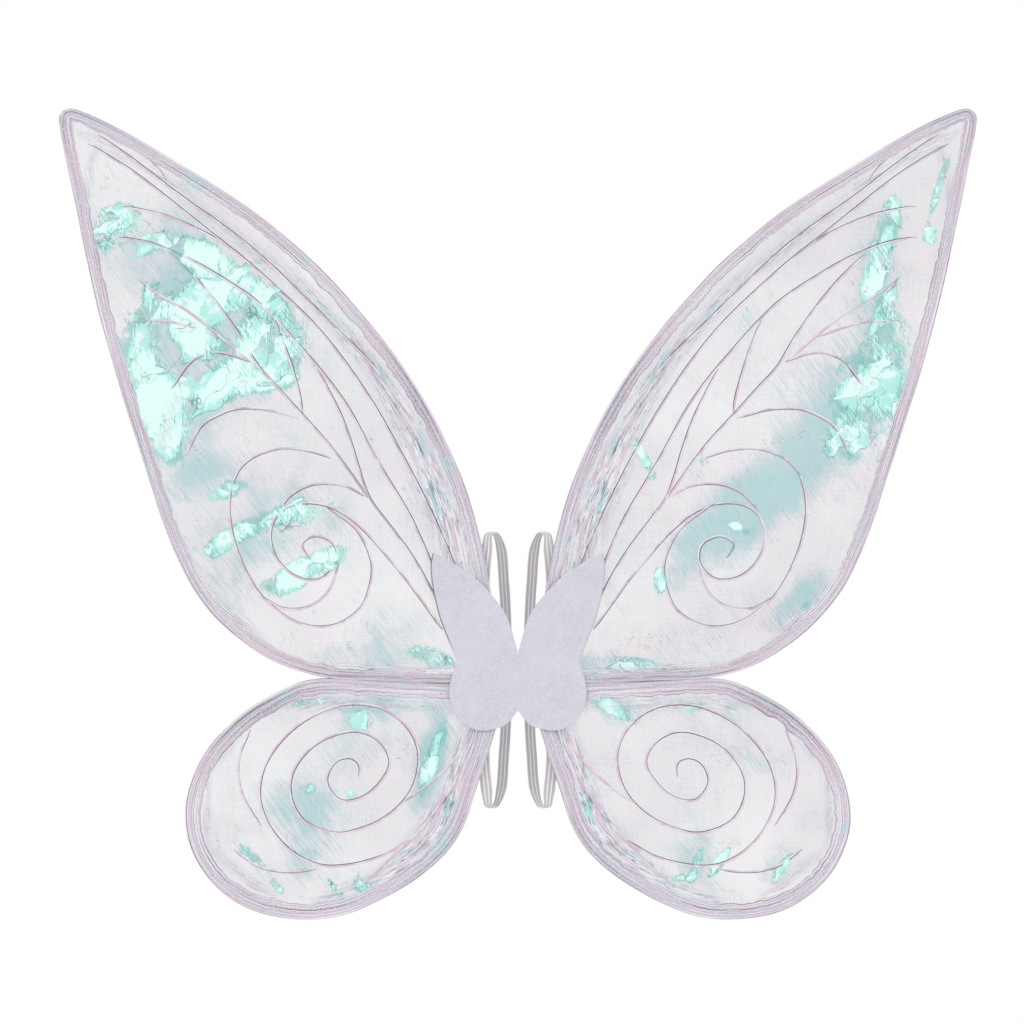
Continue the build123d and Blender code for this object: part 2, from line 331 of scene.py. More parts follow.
class Recipe:
    """The nodes of one material, added one at a time."""

    def __init__(self, name: str) -> None:
        """Starts an empty material with that name."""
        self.material = bpy.data.materials.new(name)
        self.material.use_nodes = True
        self.tree = self.material.node_tree
        self.tree.nodes.clear()

    def add(self, kind: str, inputs: dict | None = None, **settings: object) -> bpy.types.Node:
        """Adds a node.

        Args:
            kind: the node's type, without its "ShaderNode".
            inputs: value or socket for each input, by its name or number.
            settings: the node's own properties.

        Returns:
            The new node.
        """
        node = self.tree.nodes.new("ShaderNode" + kind)
        for key, value in settings.items():
            setattr(node, key, value)
        for key, value in (inputs or {}).items():
            if isinstance(value, Socket):
                self.tree.links.new(value, node.inputs[key])
            else:
                node.inputs[key].default_value = value
        return node

    def place(self) -> Socket:
        """The point's place on the object, in metres."""
        return self.add("TexCoord").outputs["Object"]

    def strip(self) -> tuple[Socket, Socket]:
        """The piece's own pattern coordinates: metres along it, and 0 to 1 round it."""
        parts = self.add("SeparateXYZ", {0: self.add("UVMap", uv_map="pattern").outputs[0]})
        return parts.outputs[0], parts.outputs[1]

    def noted(self, name: str) -> Socket:
        """A number that the piece holds for each of its points."""
        return self.add("Attribute", attribute_name=name).outputs["Fac"]

    def sum(self, a: Socket | float, b: Socket | float) -> Socket:
        """a + b."""
        return self.add("Math", {0: a, 1: b}, operation="ADD").outputs[0]

    def product(self, a: Socket | float, b: Socket | float) -> Socket:
        """a times b."""
        return self.add("Math", {0: a, 1: b}, operation="MULTIPLY").outputs[0]

    def between(
        self, value: Socket, low: float, high: float, to_low: float = 0.0, to_high: float = 1.0
    ) -> Socket:
        """Smooth step from to_low to to_high as a value goes from low to high."""
        inputs = {0: value, 1: low, 2: high, 3: to_low, 4: to_high}
        return self.add("MapRange", inputs, interpolation_type="SMOOTHSTEP").outputs[0]

    def cells(self, place: Socket, scale: float) -> Socket:
        """One random number of 0 to 1 for each cell of a broken-up surface."""
        colour = self.add("TexVoronoi", {"Vector": place, "Scale": scale}).outputs["Color"]
        return self.add("SeparateColor", {0: colour}).outputs[0]

    def near_level(self, value: Socket, level: float, reach: float) -> Socket:
        """1 where a value is at a level, down to 0 a reach away: a thin line along that level."""
        away = self.add("Math", {0: self.sum(value, -level)}, operation="ABSOLUTE").outputs[0]
        return self.between(away, 0.0, reach, 1.0, 0.0)

    def pair(self, first: Socket, second: Socket) -> Socket:
        """Two numbers as the first two coordinates of a place."""
        return self.add("CombineXYZ", {0: first, 1: second}).outputs[0]

    def mix(self, share: Socket | float, a: Socket | tuple, b: Socket | tuple) -> Socket:
        """Colour a where share is 0, and b where it is 1."""
        return self.add("Mix", {0: share, 6: a, 7: b}, data_type="RGBA").outputs[2]

    def noise(self, place: Socket, scale: float, detail: float = 2.0, distortion: float = 0.0) -> Socket:
        """Soft noise of 0 to 1."""
        inputs = {"Vector": place, "Scale": scale, "Detail": detail, "Distortion": distortion}
        return self.add("TexNoise", inputs).outputs["Fac"]

    def stretched(self, place: Socket, scale: tuple, turn: tuple = (0.0, 0.0, 0.0)) -> Socket:
        """The place turned by angles in radians, then scaled along each axis."""
        turned = self.add("Mapping", {"Vector": place, "Rotation": turn})
        return self.add("Mapping", {"Vector": turned.outputs[0], "Scale": scale}).outputs[0]

    def bump(self, height: Socket, depth: float, strength: float = 1.0) -> Socket:
        """Normal of a surface raised by a height of 0 to 1, depth metres high."""
        inputs = {"Strength": strength, "Distance": depth, "Height": height}
        return self.add("Bump", inputs).outputs[0]

    def finish(self, **inputs: object) -> bpy.types.Material:
        """Adds the surface, its inputs named in lower case with underscores, and ends the material."""
        named = {key.replace("_", " ").title().replace("Ior", "IOR"): value for key, value in inputs.items()}
        surface = self.add("BsdfPrincipled", named)
        self.add("OutputMaterial", {"Surface": surface.outputs[0]})
        return self.material


@dataclass(frozen=True)
class FilmFinish:
    """Clear film with a fine weave, painted reflections as soft teal bands and crisp mint flashes where it faces
    the light, and painted shade and highlights along its creases and gathers.
    """

    clear: tuple = shade(178, 179, 190)
    rosy: tuple = shade(200, 178, 192)
    # Colours of the painted reflections: soft grey-teal, teal, mint and near-white glint.
    soft_reflection_teal: tuple = shade(150, 200, 204)
    teal: tuple = shade(146, 206, 202)
    mint: tuple = shade(184, 240, 231)
    glint: tuple = shade(226, 255, 250)
    # Dark teal painted shade lines along the rims of the reflections and along facet folds.
    crease: tuple = shade(92, 140, 142)
    # Painted shade and painted highlight of thin creases in the film.
    scratch: tuple = shade(96, 98, 106)
    scratch_side: tuple = shade(238, 238, 242)
    # Gathered folds by the hem: lilac tone, painted highlight, painted teal reflection and painted shade line.
    fold_lilac: tuple = shade(222, 204, 218)
    fold_highlight: tuple = shade(240, 240, 246)
    fold_reflection: tuple = shade(176, 218, 222)
    fold_shade: tuple = shade(92, 106, 120)
    roughness: float = 0.2
    facets: float = 40.0

    def make(self) -> bpy.types.Material:
        """The film's material; numbers noted on its points say where its crisp painted reflections, its soft
        painted reflections and its gathers are strong.
        """
        r = Recipe("iridescent film")
        place = r.place()
        swirl = r.add("TexNoise", {"Vector": place, "Scale": 30.0, "Detail": 4.0}).outputs["Color"]
        shift = r.add("VectorMath", {0: swirl, 1: (0.5, 0.5, 0.5)}, operation="SUBTRACT").outputs[0]
        far = r.add("VectorMath", {0: shift, "Scale": 0.04}, operation="SCALE").outputs[0]
        warped = r.add("VectorMath", {0: place, 1: far}, operation="ADD").outputs[0]
        slant = r.noise(r.stretched(place, (900, 900, 45), (0, 0.62, 0)), 1.0, 2.0)
        upright = r.noise(r.stretched(place, (1100, 1100, 60), (0, -0.06, 0)), 1.0, 2.0)
        level = r.noise(r.stretched(place, (55, 55, 1000), (0, -0.04, 0)), 1.0, 2.0)
        score = self.flash_score(r, place, warped, slant, upright)
        colour = r.mix(r.between(r.noise(place, 20.0, 4.0), 0.5, 0.68, 0.0, 0.6), self.clear, self.rosy)
        cloudy = r.product(r.sum(r.noise(warped, 30.0, 5.0), -0.5), 1.5)
        torn = r.sum(cloudy, r.product(r.sum(slant, -0.5), 0.9))
        # Soft grey-teal painted reflection, torn up by noise; it also makes the film more solid.
        soft_reflection = r.between(r.sum(r.noted("soft_reflection"), torn), 0.15, 1.0)
        colour = r.mix(soft_reflection, colour, self.soft_reflection_teal)
        solid = r.sum(r.product(soft_reflection, 0.3), r.between(r.noise(place, 9.0, 3.0), 0.3, 0.7, 0.12, 0.22))
        colour, solid = self.lay_flashes(r, warped, score, colour, solid)
        colour, solid = self.lay_gathers(r, colour, solid)
        colour, solid = self.lay_wrinkle_shading(r, warped, slant, colour, solid)
        warp = r.product(r.between(upright, 0.35, 0.7), 0.06)
        weft = r.product(r.between(level, 0.35, 0.7), 0.04)
        weave = r.sum(warp, weft)
        weave = r.product(weave, r.between(r.noise(place, 28.0, 3.0), 0.4, 0.6, 0.35, 1.1))
        patch = r.between(r.noise(place, 13.0, 2.0), 0.5, 0.66)
        weave = r.sum(weave, r.product(r.product(r.between(slant, 0.4, 0.65), patch), 0.07))
        solid = r.add("Clamp", {0: r.sum(solid, weave), 1: 0.0, 2: 0.94}).outputs[0]
        height = r.sum(r.noise(warped, 60.0, 5.0), r.product(r.sum(slant, upright), 0.1))
        normal = r.bump(height, 1.2 * MM, 0.7)
        return r.finish(base_color=colour, alpha=solid, roughness=self.roughness, ior=1.5, normal=normal)

    def flash_score(self, r: Recipe, place: Socket, warped: Socket, slant: Socket, upright: Socket) -> Socket:
        """How near each place is to showing a painted reflection: its noted strength, torn up by clouds, facets and
        streaks.
        """
        cloud = r.sum(r.noise(r.stretched(warped, (1.0, 1.0, 1.5), (0, 0.9, 0)), 30.0, 8.0, 0.6), -0.5)
        pick = r.sum(r.cells(self.facet_place(r, warped), self.facets), -0.42)
        score = r.sum(r.product(r.noted("flash"), 1.5), r.product(cloud, 4.2))
        score = r.sum(score, r.product(pick, 1.1))
        streaks = r.sum(r.sum(slant, upright), -1.0)
        tears = r.between(r.noise(place, 45.0, 3.0), 0.4, 0.65, 0.4, 2.4)
        score = r.sum(score, r.product(streaks, tears))
        return r.sum(score, r.between(r.noted("flash"), 0.02, 0.34, -2.0, -0.78))

    def facet_place(self, r: Recipe, warped: Socket) -> Socket:
        """The place as the facets see it: turned with the ribs and drawn out along them."""
        return r.stretched(warped, (1.0, 1.0, 1.9), (0, 0.7, 0))

    def lay_flashes(
        self, r: Recipe, warped: Socket, score: Socket, colour: Socket, solid: Socket
    ) -> tuple[Socket, Socket]:
        """Paints teal, mint and near-white reflections as the score climbs, with dark painted shade lines on their
        rims and along facet folds here and there.
        """
        drift = r.product(r.sum(r.noise(r.place(), 42.0, 3.0, 0.5), -0.5), 3.4)
        spread = r.sum(score, drift)
        colour = r.mix(r.between(spread, -0.5, 0.1, 0.0, 0.85), colour, self.teal)
        colour = r.mix(r.between(score, 0.08, 0.3), colour, self.mint)
        shine = r.sum(score, r.product(r.sum(r.noise(r.place(), 110.0, 5.0, 1.0), -0.5), 2.2))
        colour = r.mix(r.between(shine, 0.45, 0.8), colour, self.glint)
        solid = r.sum(solid, r.between(spread, -0.5, 0.4, 0.0, 0.34))
        solid = r.sum(solid, r.between(score, 0.0, 0.45, 0.0, 0.42))
        # Dark teal lines of painted shade: on the rim of the mint reflections, and along facet folds where the
        # reflections are strong.
        rim = r.product(r.near_level(score, 0.08, 0.06), r.between(r.noise(r.place(), 60.0, 2.0), 0.5, 0.58))
        facets = {"Vector": self.facet_place(r, warped), "Scale": self.facets}
        edge = r.add("TexVoronoi", facets, feature="DISTANCE_TO_EDGE").outputs[0]
        some = r.between(r.noise(r.place(), 52.0, 2.0), 0.46, 0.56)
        fold = r.product(r.between(edge, 0.0, 0.022, 1.0, 0.0), some)
        rim = r.sum(rim, r.product(fold, r.between(r.noted("flash"), 0.15, 0.4)))
        solid = r.sum(solid, r.product(rim, 0.3))
        return r.mix(r.product(rim, 0.75), colour, self.crease), solid

    def lay_gathers(self, r: Recipe, colour: Socket, solid: Socket) -> tuple[Socket, Socket]:
        """Paints folds along the hem where the film gathers: lilac tone, white painted highlights and teal painted
        reflections, with dark lines of painted shade between them.
        """
        gather, near, run = r.noted("gather"), r.noted("near"), r.noted("run")
        fold = r.noise(r.pair(r.product(run, 26.0), r.product(near, 520.0)), 1.0, 3.0, 0.4)
        tint = r.noise(r.pair(r.product(run, 34.0), r.product(near, 190.0)), 1.0, 2.0)
        shown = r.product(gather, r.between(fold, 0.38, 0.56))
        paint = r.mix(r.between(tint, 0.42, 0.5), self.fold_lilac, self.fold_highlight)
        paint = r.mix(r.between(tint, 0.54, 0.6), paint, self.fold_reflection)
        colour = r.mix(shown, colour, paint)
        solid = r.sum(solid, r.product(shown, 0.5))
        line = r.product(r.near_level(fold, 0.47, 0.028), gather)
        solid = r.sum(solid, r.product(line, 0.6))
        return r.mix(r.product(line, 0.85), colour, self.fold_shade), solid

    def lay_wrinkle_shading(
        self, r: Recipe, warped: Socket, slant: Socket, colour: Socket, solid: Socket
    ) -> tuple[Socket, Socket]:
        """Paints thin creases as dark lines of painted shade with painted highlights on their sides, in loose
        clusters.
        """
        at = r.stretched(warped, (70.0, 70.0, 26.0), (0, 0.75, 0))
        away = r.add("Math", {0: r.sum(r.noise(at, 1.0, 4.0), -0.5)}, operation="ABSOLUTE").outputs[0]
        where = r.between(r.noise(r.place(), 24.0, 2.0), 0.52, 0.62)
        where = r.product(where, r.between(slant, 0.35, 0.55))
        pale = r.product(r.between(away, 0.004, 0.02, 1.0, 0.0), where)
        dark = r.product(r.between(away, 0.0, 0.007, 1.0, 0.0), where)
        solid = r.sum(solid, r.product(pale, 0.2))
        colour = r.mix(r.product(pale, 0.7), colour, self.scratch_side)
        return r.mix(r.product(dark, 0.8), colour, self.scratch), solid


@dataclass(frozen=True)
class HemFinish:
    """Film gathered into a hem: fine pink pleats with painted highlights on their ridges and painted shade in their
    valleys, teal painted reflections, and a few glittering specks painted near white as sparkle.
    """

    lilac: tuple = shade(200, 197, 211)
    pink: tuple = shade(218, 196, 211)
    # Painted highlight on the pleats' ridges, and painted shade in their valleys and along the hem's edges.
    pale: tuple = shade(240, 238, 245)
    valley: tuple = shade(118, 114, 128)
    # Painted teal reflection.
    mint: tuple = shade(186, 226, 226)
    # Glitter specks, painted near white as a sparkle highlight.
    glitter_sparkle: tuple = shade(252, 251, 253)

    def make(self) -> bpy.types.Material:
        """The hem's material, which reads its own pattern: metres along it, and 0 to 1 round it."""
        r = Recipe("gathered hem")
        along, around = r.strip()
        place = r.place()
        pleat = r.noise(r.pair(r.product(along, 9.0), r.product(around, 46.0)), 1.0, 2.0, 0.2)
        patch = r.noise(r.pair(r.product(along, 16.0), r.product(around, 12.0)), 1.0, 2.0)
        gather = r.noise(r.pair(r.product(along, 520.0), r.product(around, 14.0)), 1.0, 2.0)
        colour = r.mix(r.between(patch, 0.44, 0.58), self.lilac, self.pink)
        colour = r.mix(r.noted("blush"), colour, self.pink)
        # Painted highlights on the pleats' ridges.
        colour = r.mix(r.between(pleat, 0.5, 0.62), colour, self.pale)
        # Painted teal reflection in patches.
        colour = r.mix(r.between(r.noise(place, 30.0, 2.0), 0.58, 0.7, 0.0, 0.6), colour, self.mint)
        # Painted shade in the pleats' valleys and along the hem's edges.
        dip = r.between(pleat, 0.37, 0.47, 0.72, 0.0)
        colour = r.mix(r.sum(dip, r.between(r.noted("groove"), 0.6, 1.0, 0.0, 0.7)), colour, self.valley)
        # Glitter specks painted near white: real specks with a painted sparkle, and a little less roughness.
        spark = r.between(r.cells(place, 1300.0), 0.82, 0.97, 0.0, 0.45)
        colour = r.mix(spark, colour, self.glitter_sparkle)
        height = r.sum(r.product(gather, 0.5), r.sum(pleat, r.product(spark, 0.3)))
        normal = r.bump(height, 0.4 * MM, 0.8)
        solid = r.between(pleat, 0.3, 0.6, 0.86, 0.97)
        rough = r.between(spark, 0.0, 0.45, 0.38, 0.2)
        return r.finish(base_color=colour, roughness=rough, alpha=solid, sheen_weight=0.25, normal=normal)


@dataclass(frozen=True)
class RibFinish:
    """Raised pearl-pink line with a thin painted shadow along one edge."""

    pearl: tuple = shade(216, 192, 206)
    bright: tuple = shade(232, 222, 232)
    # Painted shadow beside the bead.
    crease: tuple = shade(78, 75, 82)

    def make(self) -> bpy.types.Material:
        """The line's material, which reads from a number noted on its points where its painted shadow lies."""
        r = Recipe("raised pearl line")
        colour = r.mix(r.between(r.noise(r.place(), 90.0, 3.0), 0.4, 0.6), self.pearl, self.bright)
        # Paints the bead's shadow on the lip beside it, where the line notes it.
        colour = r.mix(r.between(r.noted("crease"), 0.2, 0.8), colour, self.crease)
        normal = r.bump(r.noise(r.place(), 900.0, 2.0), 0.08 * MM, 0.6)
        return r.finish(base_color=colour, roughness=0.32, coat_weight=0.3, normal=normal)


@dataclass(frozen=True)
class FeltFinish:
    """Matte pressed felt: soft mottling and short fibres lying every way, and a painted shadow along a curled edge.
    """

    ground: tuple = shade(207, 205, 216)
    pale: tuple = shade(215, 213, 222)
    dim: tuple = shade(199, 197, 208)
    # Painted shadow under a curled ear edge.
    rim: tuple = shade(104, 102, 110)

    def make(self) -> bpy.types.Material:
        """The felt's material."""
        r = Recipe("felt")
        place = r.place()
        cloud = r.noise(place, 70.0, 4.0, 0.6)
        fibre = r.noise(r.stretched(place, (900, 900, 260), (0, 0.7, 0)), 1.0, 3.0, 2.0)
        cross = r.noise(r.stretched(place, (260, 900, 900), (0, 0.4, 0)), 1.0, 3.0, 2.0)
        colour = r.mix(r.between(cloud, 0.35, 0.65), self.dim, self.ground)
        fuzz = r.product(r.sum(fibre, cross), 0.5)
        colour = r.mix(r.between(fuzz, 0.42, 0.62), colour, self.pale)
        # Paints the shadow under the curled ear edge where the felt notes it.
        colour = r.mix(r.noted("curl_shadow"), colour, self.rim)
        normal = r.bump(r.sum(fuzz, r.product(cloud, 0.6)), 0.3 * MM, 0.7)
        cloth = {"roughness": 0.95, "sheen_weight": 0.35, "sheen_roughness": 0.6}
        return r.finish(base_color=colour, normal=normal, **cloth)


@dataclass(frozen=True)
class ElasticFinish:
    """Flat ribbed elastic: cords side by side under fine cross threads, with pale lines between."""

    cord: tuple = shade(214, 209, 213)
    line: tuple = shade(252, 251, 252)
    edge: tuple = shade(192, 187, 191)
    solid: float = 0.86

    def make(self) -> bpy.types.Material:
        """The elastic's material, which reads how deep each place lies between cords from "groove"."""
        r = Recipe("ribbed elastic")
        along, _ = r.strip()
        groove = r.noted("groove")
        waves = {"Vector": r.add("CombineXYZ", {0: along}).outputs[0], "Scale": 330.0, "Distortion": 0.6}
        thread = r.add("TexWave", waves, bands_direction="X").outputs["Fac"]
        colour = r.mix(r.noise(r.place(), 45.0, 3.0), self.edge, self.cord)
        colour = r.mix(r.product(thread, 0.35), colour, self.edge)
        colour = r.mix(r.between(groove, 0.2, 0.6), colour, self.line)
        height = r.sum(thread, r.product(r.noise(r.place(), 1500.0, 1.0), 0.5))
        normal = r.bump(height, 0.15 * MM, 0.7)
        return r.finish(base_color=colour, alpha=self.solid, roughness=0.7, sheen_weight=0.2, normal=normal)


@dataclass(frozen=True)
class PlainFinish:
    """A finish for small and hidden pieces: one tone mottled by noise, with a fine grain."""

    name: str
    tone: tuple
    other: tuple
    roughness: float
    metallic: float = 0.0
    grain: float = 700.0

    def make(self) -> bpy.types.Material:
        """The piece's material."""
        r = Recipe(self.name)
        colour = r.mix(r.noise(r.place(), 120.0, 3.0), self.tone, self.other)
        normal = r.bump(r.noise(r.place(), self.grain, 2.0), 0.08 * MM, 0.5)
        return r.finish(base_color=colour, roughness=self.roughness, metallic=self.metallic, normal=normal)


class Finishes:
    """Every material, each made once."""

    def __init__(self) -> None:
        """Makes the materials."""
        self.film = FilmFinish().make()
        self.hem = HemFinish().make()
        self.rib = RibFinish().make()
        self.felt = FeltFinish().make()
        self.elastic = ElasticFinish().make()
        self.thread = PlainFinish("thread", shade(214, 208, 220), shade(232, 228, 236), 0.55).make()
        self.steel = PlainFinish("drawn wire", shade(170, 172, 176), shade(196, 198, 202), 0.28, 1.0).make()
        self.crimp = PlainFinish("crimp tube", shade(186, 188, 192), shade(206, 208, 212), 0.38, 1.0).make()
        cotton = (shade(222, 220, 216), shade(236, 234, 230))
        self.tape = PlainFinish("cotton tape", *cotton, 0.9, 0.0, 1400.0).make()


def dress(piece: bpy.types.Object, material: bpy.types.Material, slot: str, body: str, *nodes: str) -> None:
    """Gives a new piece its material and body, and lets it stand for CAD nodes.

    Args:
        piece: the piece.
        material: its finish.
        slot: not used.
        body: the CAD body that it moves with.
        nodes: the CAD nodes that it stands for.
    """
    piece.data.materials.clear()
    piece.data.materials.append(material)
    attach(piece, body)
    if nodes:
        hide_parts(*nodes)
    log.info("%s: %d points, rides on %s", piece.name, len(piece.data.vertices), body)


# ---------------------------------------------------------------- wings


@dataclass(frozen=True)
class Flash:
    """A place where the film catches the light: its middle, half sizes and tilt, and how strong it is."""

    x: float
    z: float
    half_x: float
    half_z: float
    tilt: float = 0.0
    strength: float = 1.0

    def glow(self, x: Array, z: Array) -> Array:
        """Strength at each place in millimetres: strength * exp(-d^2.8).

        d is the distance from the middle in half sizes, along axes turned by the tilt.
        """
        turn = math.radians(self.tilt)
        dx, dz = x - self.x, z - self.z
        first = (dx * math.cos(turn) + dz * math.sin(turn)) / self.half_x
        second = (dz * math.cos(turn) - dx * math.sin(turn)) / self.half_z
        return self.strength * np.exp(-((first**2 + second**2) ** 1.4))


@dataclass(frozen=True)
class Line:
    """A raised line: the places it passes in millimetres, and how dark the painted shadow beside it is."""

    places: tuple
    dark: float = 0.35
    width: float = 1.25


@dataclass(frozen=True)
class Pattern:
    """What both wings of a level share, in millimetres: outline, hem width, lines, and gathers."""

    level: str
    corners: tuple
    tip_corner: int
    band: float
    ribs: tuple
    swirls: tuple
    gathers: tuple
    gather_root: bool


@dataclass
class Wing:
    """One wing: its film panel, the hem round it, the hem's thread, and its raised lines."""

    pattern: Pattern
    side: Side
    # Where the crisp painted reflections lie, then the soft ones, as spots in millimetres.
    flashes: tuple
    soft_reflections: tuple
    seed: int
    root_x: float = 14.0 * MM
    film_start_x: float = 20.0 * MM
    film_tuck: float = 3.0 * MM
    film_thickness: float = 0.25 * MM
    film_rows: int = 230
    film_cols: int = 104
    strongest_look: float = 1.2
    welt: float = 1.4 * MM
    hem_half: float = 0.5 * MM
    hem_points: int = 26
    hem_spread: float = 1.2
    pleats: float = 4.0
    pleat_wander: float = 0.35
    bend_share: float = 0.9
    stitch_pitch: float = 3.4 * MM
    stitch_length: float = 2.3 * MM
    stitch_radius: float = 0.2 * MM
    stitch_line: float = 0.66
    bead_height: float = 0.42 * MM
    line_taper: float = 7.0 * MM
    outline: Array = field(init=False)
    inward: Array = field(init=False)
    bend: Array = field(init=False)

    def __post_init__(self) -> None:
        """Works out the outline, the way inwards from it, and the radius of its bends."""
        whole = rounded_path(np.array(self.pattern.corners, float) * MM, OUTLINE_DRAFT)
        kept = whole[whole[:, 0] > self.root_x]
        self.outline = even_steps(kept, round(path_length(kept) / OUTLINE_STEP))
        along = headings(self.outline)
        # The outline runs up the leading edge and back down the trailing one, so inwards is to its right.
        self.inward = np.stack([along[:, 1], -along[:, 0]], axis=1)
        angle = np.unwrap(np.arctan2(along[:, 1], along[:, 0]))
        turning = -np.gradient(angle) / OUTLINE_STEP
        self.bend = 1 / np.maximum(turning, 1e-3)

    @property
    def name(self) -> str:
        """The wing as it stands in the names of its pieces."""
        return f"{self.pattern.level}_{self.side.word}"

    @property
    def body(self) -> str:
        """The CAD body that the wing's pieces move with."""
        return f"{self.side.word}_wings"

    @property
    def band(self) -> float:
        """The hem's width in metres."""
        return self.pattern.band * MM

    def inset(self, distance: float) -> Array:
        """The outline moved inwards by a distance, which a tight bend cuts to a share of its radius."""
        reach = np.minimum(distance, self.bend_share * self.bend)
        return self.outline + self.inward * reach[:, None]

    def edge_distance(self, x: Array, z: Array) -> tuple[Array, Array]:
        """How far places are from the outline, and how far along it their nearest point is, in metres."""
        places = np.stack([x.ravel(), z.ravel()], axis=1)
        near = np.empty(len(places))
        spot = np.empty(len(places), int)
        # A few thousand places at a time keep the table of distances small.
        for start in range(0, len(places), 4000):
            batch = slice(start, start + 4000)
            squares = ((places[batch, None] - self.outline[None]) ** 2).sum(axis=2)
            spot[batch] = squares.argmin(axis=1)
            near[batch] = np.sqrt(squares.min(axis=1))
        return near.reshape(x.shape), (spot * OUTLINE_STEP).reshape(x.shape)

    def film_y(self, x: Array, z: Array) -> Array:
        """The film's y: flat under the hem and felt, wrinkled between.

        Broad waves, creases that run outwards from the root (a folded wave to the third power), and short
        puckers square to the hem that die away from it.
        """
        near, run = self.edge_distance(x, z)
        free = ease((near - self.band * 0.8) / (16 * MM)) * (0.25 + 0.75 * ease((x - 40 * MM) / (40 * MM)))
        lean = math.atan2(z.mean(), x.mean())
        out = x * math.cos(lean) + z * math.sin(lean)
        side = z * math.cos(lean) - x * math.sin(lean)
        broad = ripple(x, z, 95 * MM, self.seed)
        fold = 1 - np.abs(ripple(out / 4, side, 26 * MM, self.seed + 1))
        crinkle = ripple(x, z, 19 * MM, self.seed + 2)
        wavy = 0.9 * broad + 0.8 * np.clip(fold, 0, 1) ** 3 + 0.22 * crinkle
        pucker = np.sin(TAU * run / (8.5 * MM) + 3 * ripple(x, z, 50 * MM, self.seed + 3))
        pucker *= np.exp(-np.abs(near - self.band - 4 * MM) / (5 * MM)) * ease((near - self.band) / (3 * MM))
        return -WING_DEPTH + free * wavy * MM + 0.5 * pucker * MM

    def build(self, finishes: Finishes) -> None:
        """Makes and dresses every piece of the wing."""
        self.build_film(finishes)
        self.build_hem(finishes)
        self.build_thread(finishes)
        self.build_lines("ribs", self.pattern.ribs, finishes)
        self.build_lines("swirls", self.pattern.swirls, finishes)
        for part, material in (("wire_frame", finishes.steel), ("crimp_sleeve", finishes.crimp)):
            repaint(f"{self.name}_{part}", material)

    def build_film(self, finishes: Finishes) -> None:
        """The film panel: straight rulings from the leading edge to the trailing edge, set in y by film_y."""
        rim = self.inset(self.band - self.film_tuck)
        rim = rim[rim[:, 0] > self.film_start_x]
        tip_place = np.array(self.pattern.corners[self.pattern.tip_corner]) * MM
        tip = int(np.linalg.norm(rim - tip_place, axis=1).argmin())
        leading = even_steps(rim[: tip + 1], self.film_rows)
        trailing = even_steps(rim[tip:][::-1], self.film_rows)
        share = np.linspace(0.0, 1.0, self.film_cols)[None, :, None]
        flat = leading[:, None] * (1 - share) + trailing[:, None] * share
        x, z = flat[..., 0], flat[..., 1]
        points = np.stack([x * self.side.value, self.film_y(x, z), z], axis=-1)
        film = skin(f"{self.name}_film_panel", points, flat, outward=np.array([0.0, -1.0, 0.0]))
        # Where the crisp and the soft painted reflections and the gathers lie, noted on the film's points.
        looks = {"flash": self.flashes, "soft_reflection": self.soft_reflections, "gather": self.pattern.gathers}
        for look, spots in looks.items():
            glow = sum(spot.glow(x / MM, z / MM) for spot in spots)
            note_points(film, look, np.clip(glow, 0, self.strongest_look))
        near, run = self.edge_distance(x, z)
        note_points(film, "near", near)
        note_points(film, "run", run)
        shell = film.modifiers.new("thickness", "SOLIDIFY")
        shell.thickness = self.film_thickness
        shell.offset = 0.0
        dress(film, finishes.film, "film", self.body, f"{self.name}_film")

    def pleat_phase(self, across: Array, run: Array, seed: int) -> Array:
        """Half turns of the pleats' wave across the hem, which wander as the hem runs on."""
        wander = self.pleat_wander * ripple(run, across * 40 * MM, 34 * MM, seed)
        return math.pi * (self.pleats * across + wander)

    def hem_rise(self, across: Array, run: Array, back: bool) -> Array:
        """Height of the hem over the wing's middle plane.

        Half a circle over the wire, and beyond it pleats, as folded sine waves that wander along the hem,
        thinning to the inner edge.

        Args:
            across: 0 at the outer edge to 1 at the inner edge.
            run: metres along the hem.
            back: whether this is the wearer's side.

        Returns:
            Height in metres.
        """
        width = across * self.band
        round_part = np.sqrt(np.clip(self.welt**2 - (width - self.welt) ** 2, 0, None))
        pleats = np.abs(np.sin(self.pleat_phase(across, run, self.seed + 11 + back)))
        swell = 0.5 + 0.35 * ripple_along(run, 21 * MM, self.seed + 13 + back)
        flat_part = self.hem_half * (0.55 + (0.9 - 0.3 * back) * pleats * swell)
        flat_part *= 1 - 0.75 * ease((across - 0.9) / 0.1)
        start = ease((width - self.welt) / self.welt)
        return np.maximum(round_part, flat_part * start)

    def near_root(self, run: Array) -> Array:
        """How near each place along the hem is to its lower root, 0 to 1, on a wing that gathers there."""
        return ease((150 * MM - (run[-1] - run)) / (110 * MM)) * self.pattern.gather_root

    def hem_places(self, across: Array, run: Array) -> Array:
        """Where the hem's points lie on the flat: inwards from the outline, by a share of an uneven width.

        Args:
            across: each point's share of the width, once round the section.
            run: metres along the hem, one for each section.

        Returns:
            Places as (x, z), sections by points by 2.
        """
        uneven = 0.05 * ripple_along(run, 17 * MM, self.seed + 21)
        uneven += 0.035 * ripple_along(run, 6 * MM, self.seed + 22)
        uneven -= 0.26 * self.near_root(run)
        wander = 0.12 * MM * ripple_along(run, 40 * MM, self.seed + 23)
        width = across * self.band * (1 + uneven[:, None] * across) + wander[:, None]
        reach = np.minimum(width, self.bend_share * self.bend[:, None])
        return self.outline[:, None] + self.inward[:, None] * reach[..., None]

    def note_hem(self, hem: bpy.types.Object, across: Array, run: Array) -> None:
        """Notes where painted shade goes: in the grooves between pleats and along both edges; and the pink blush.
        """
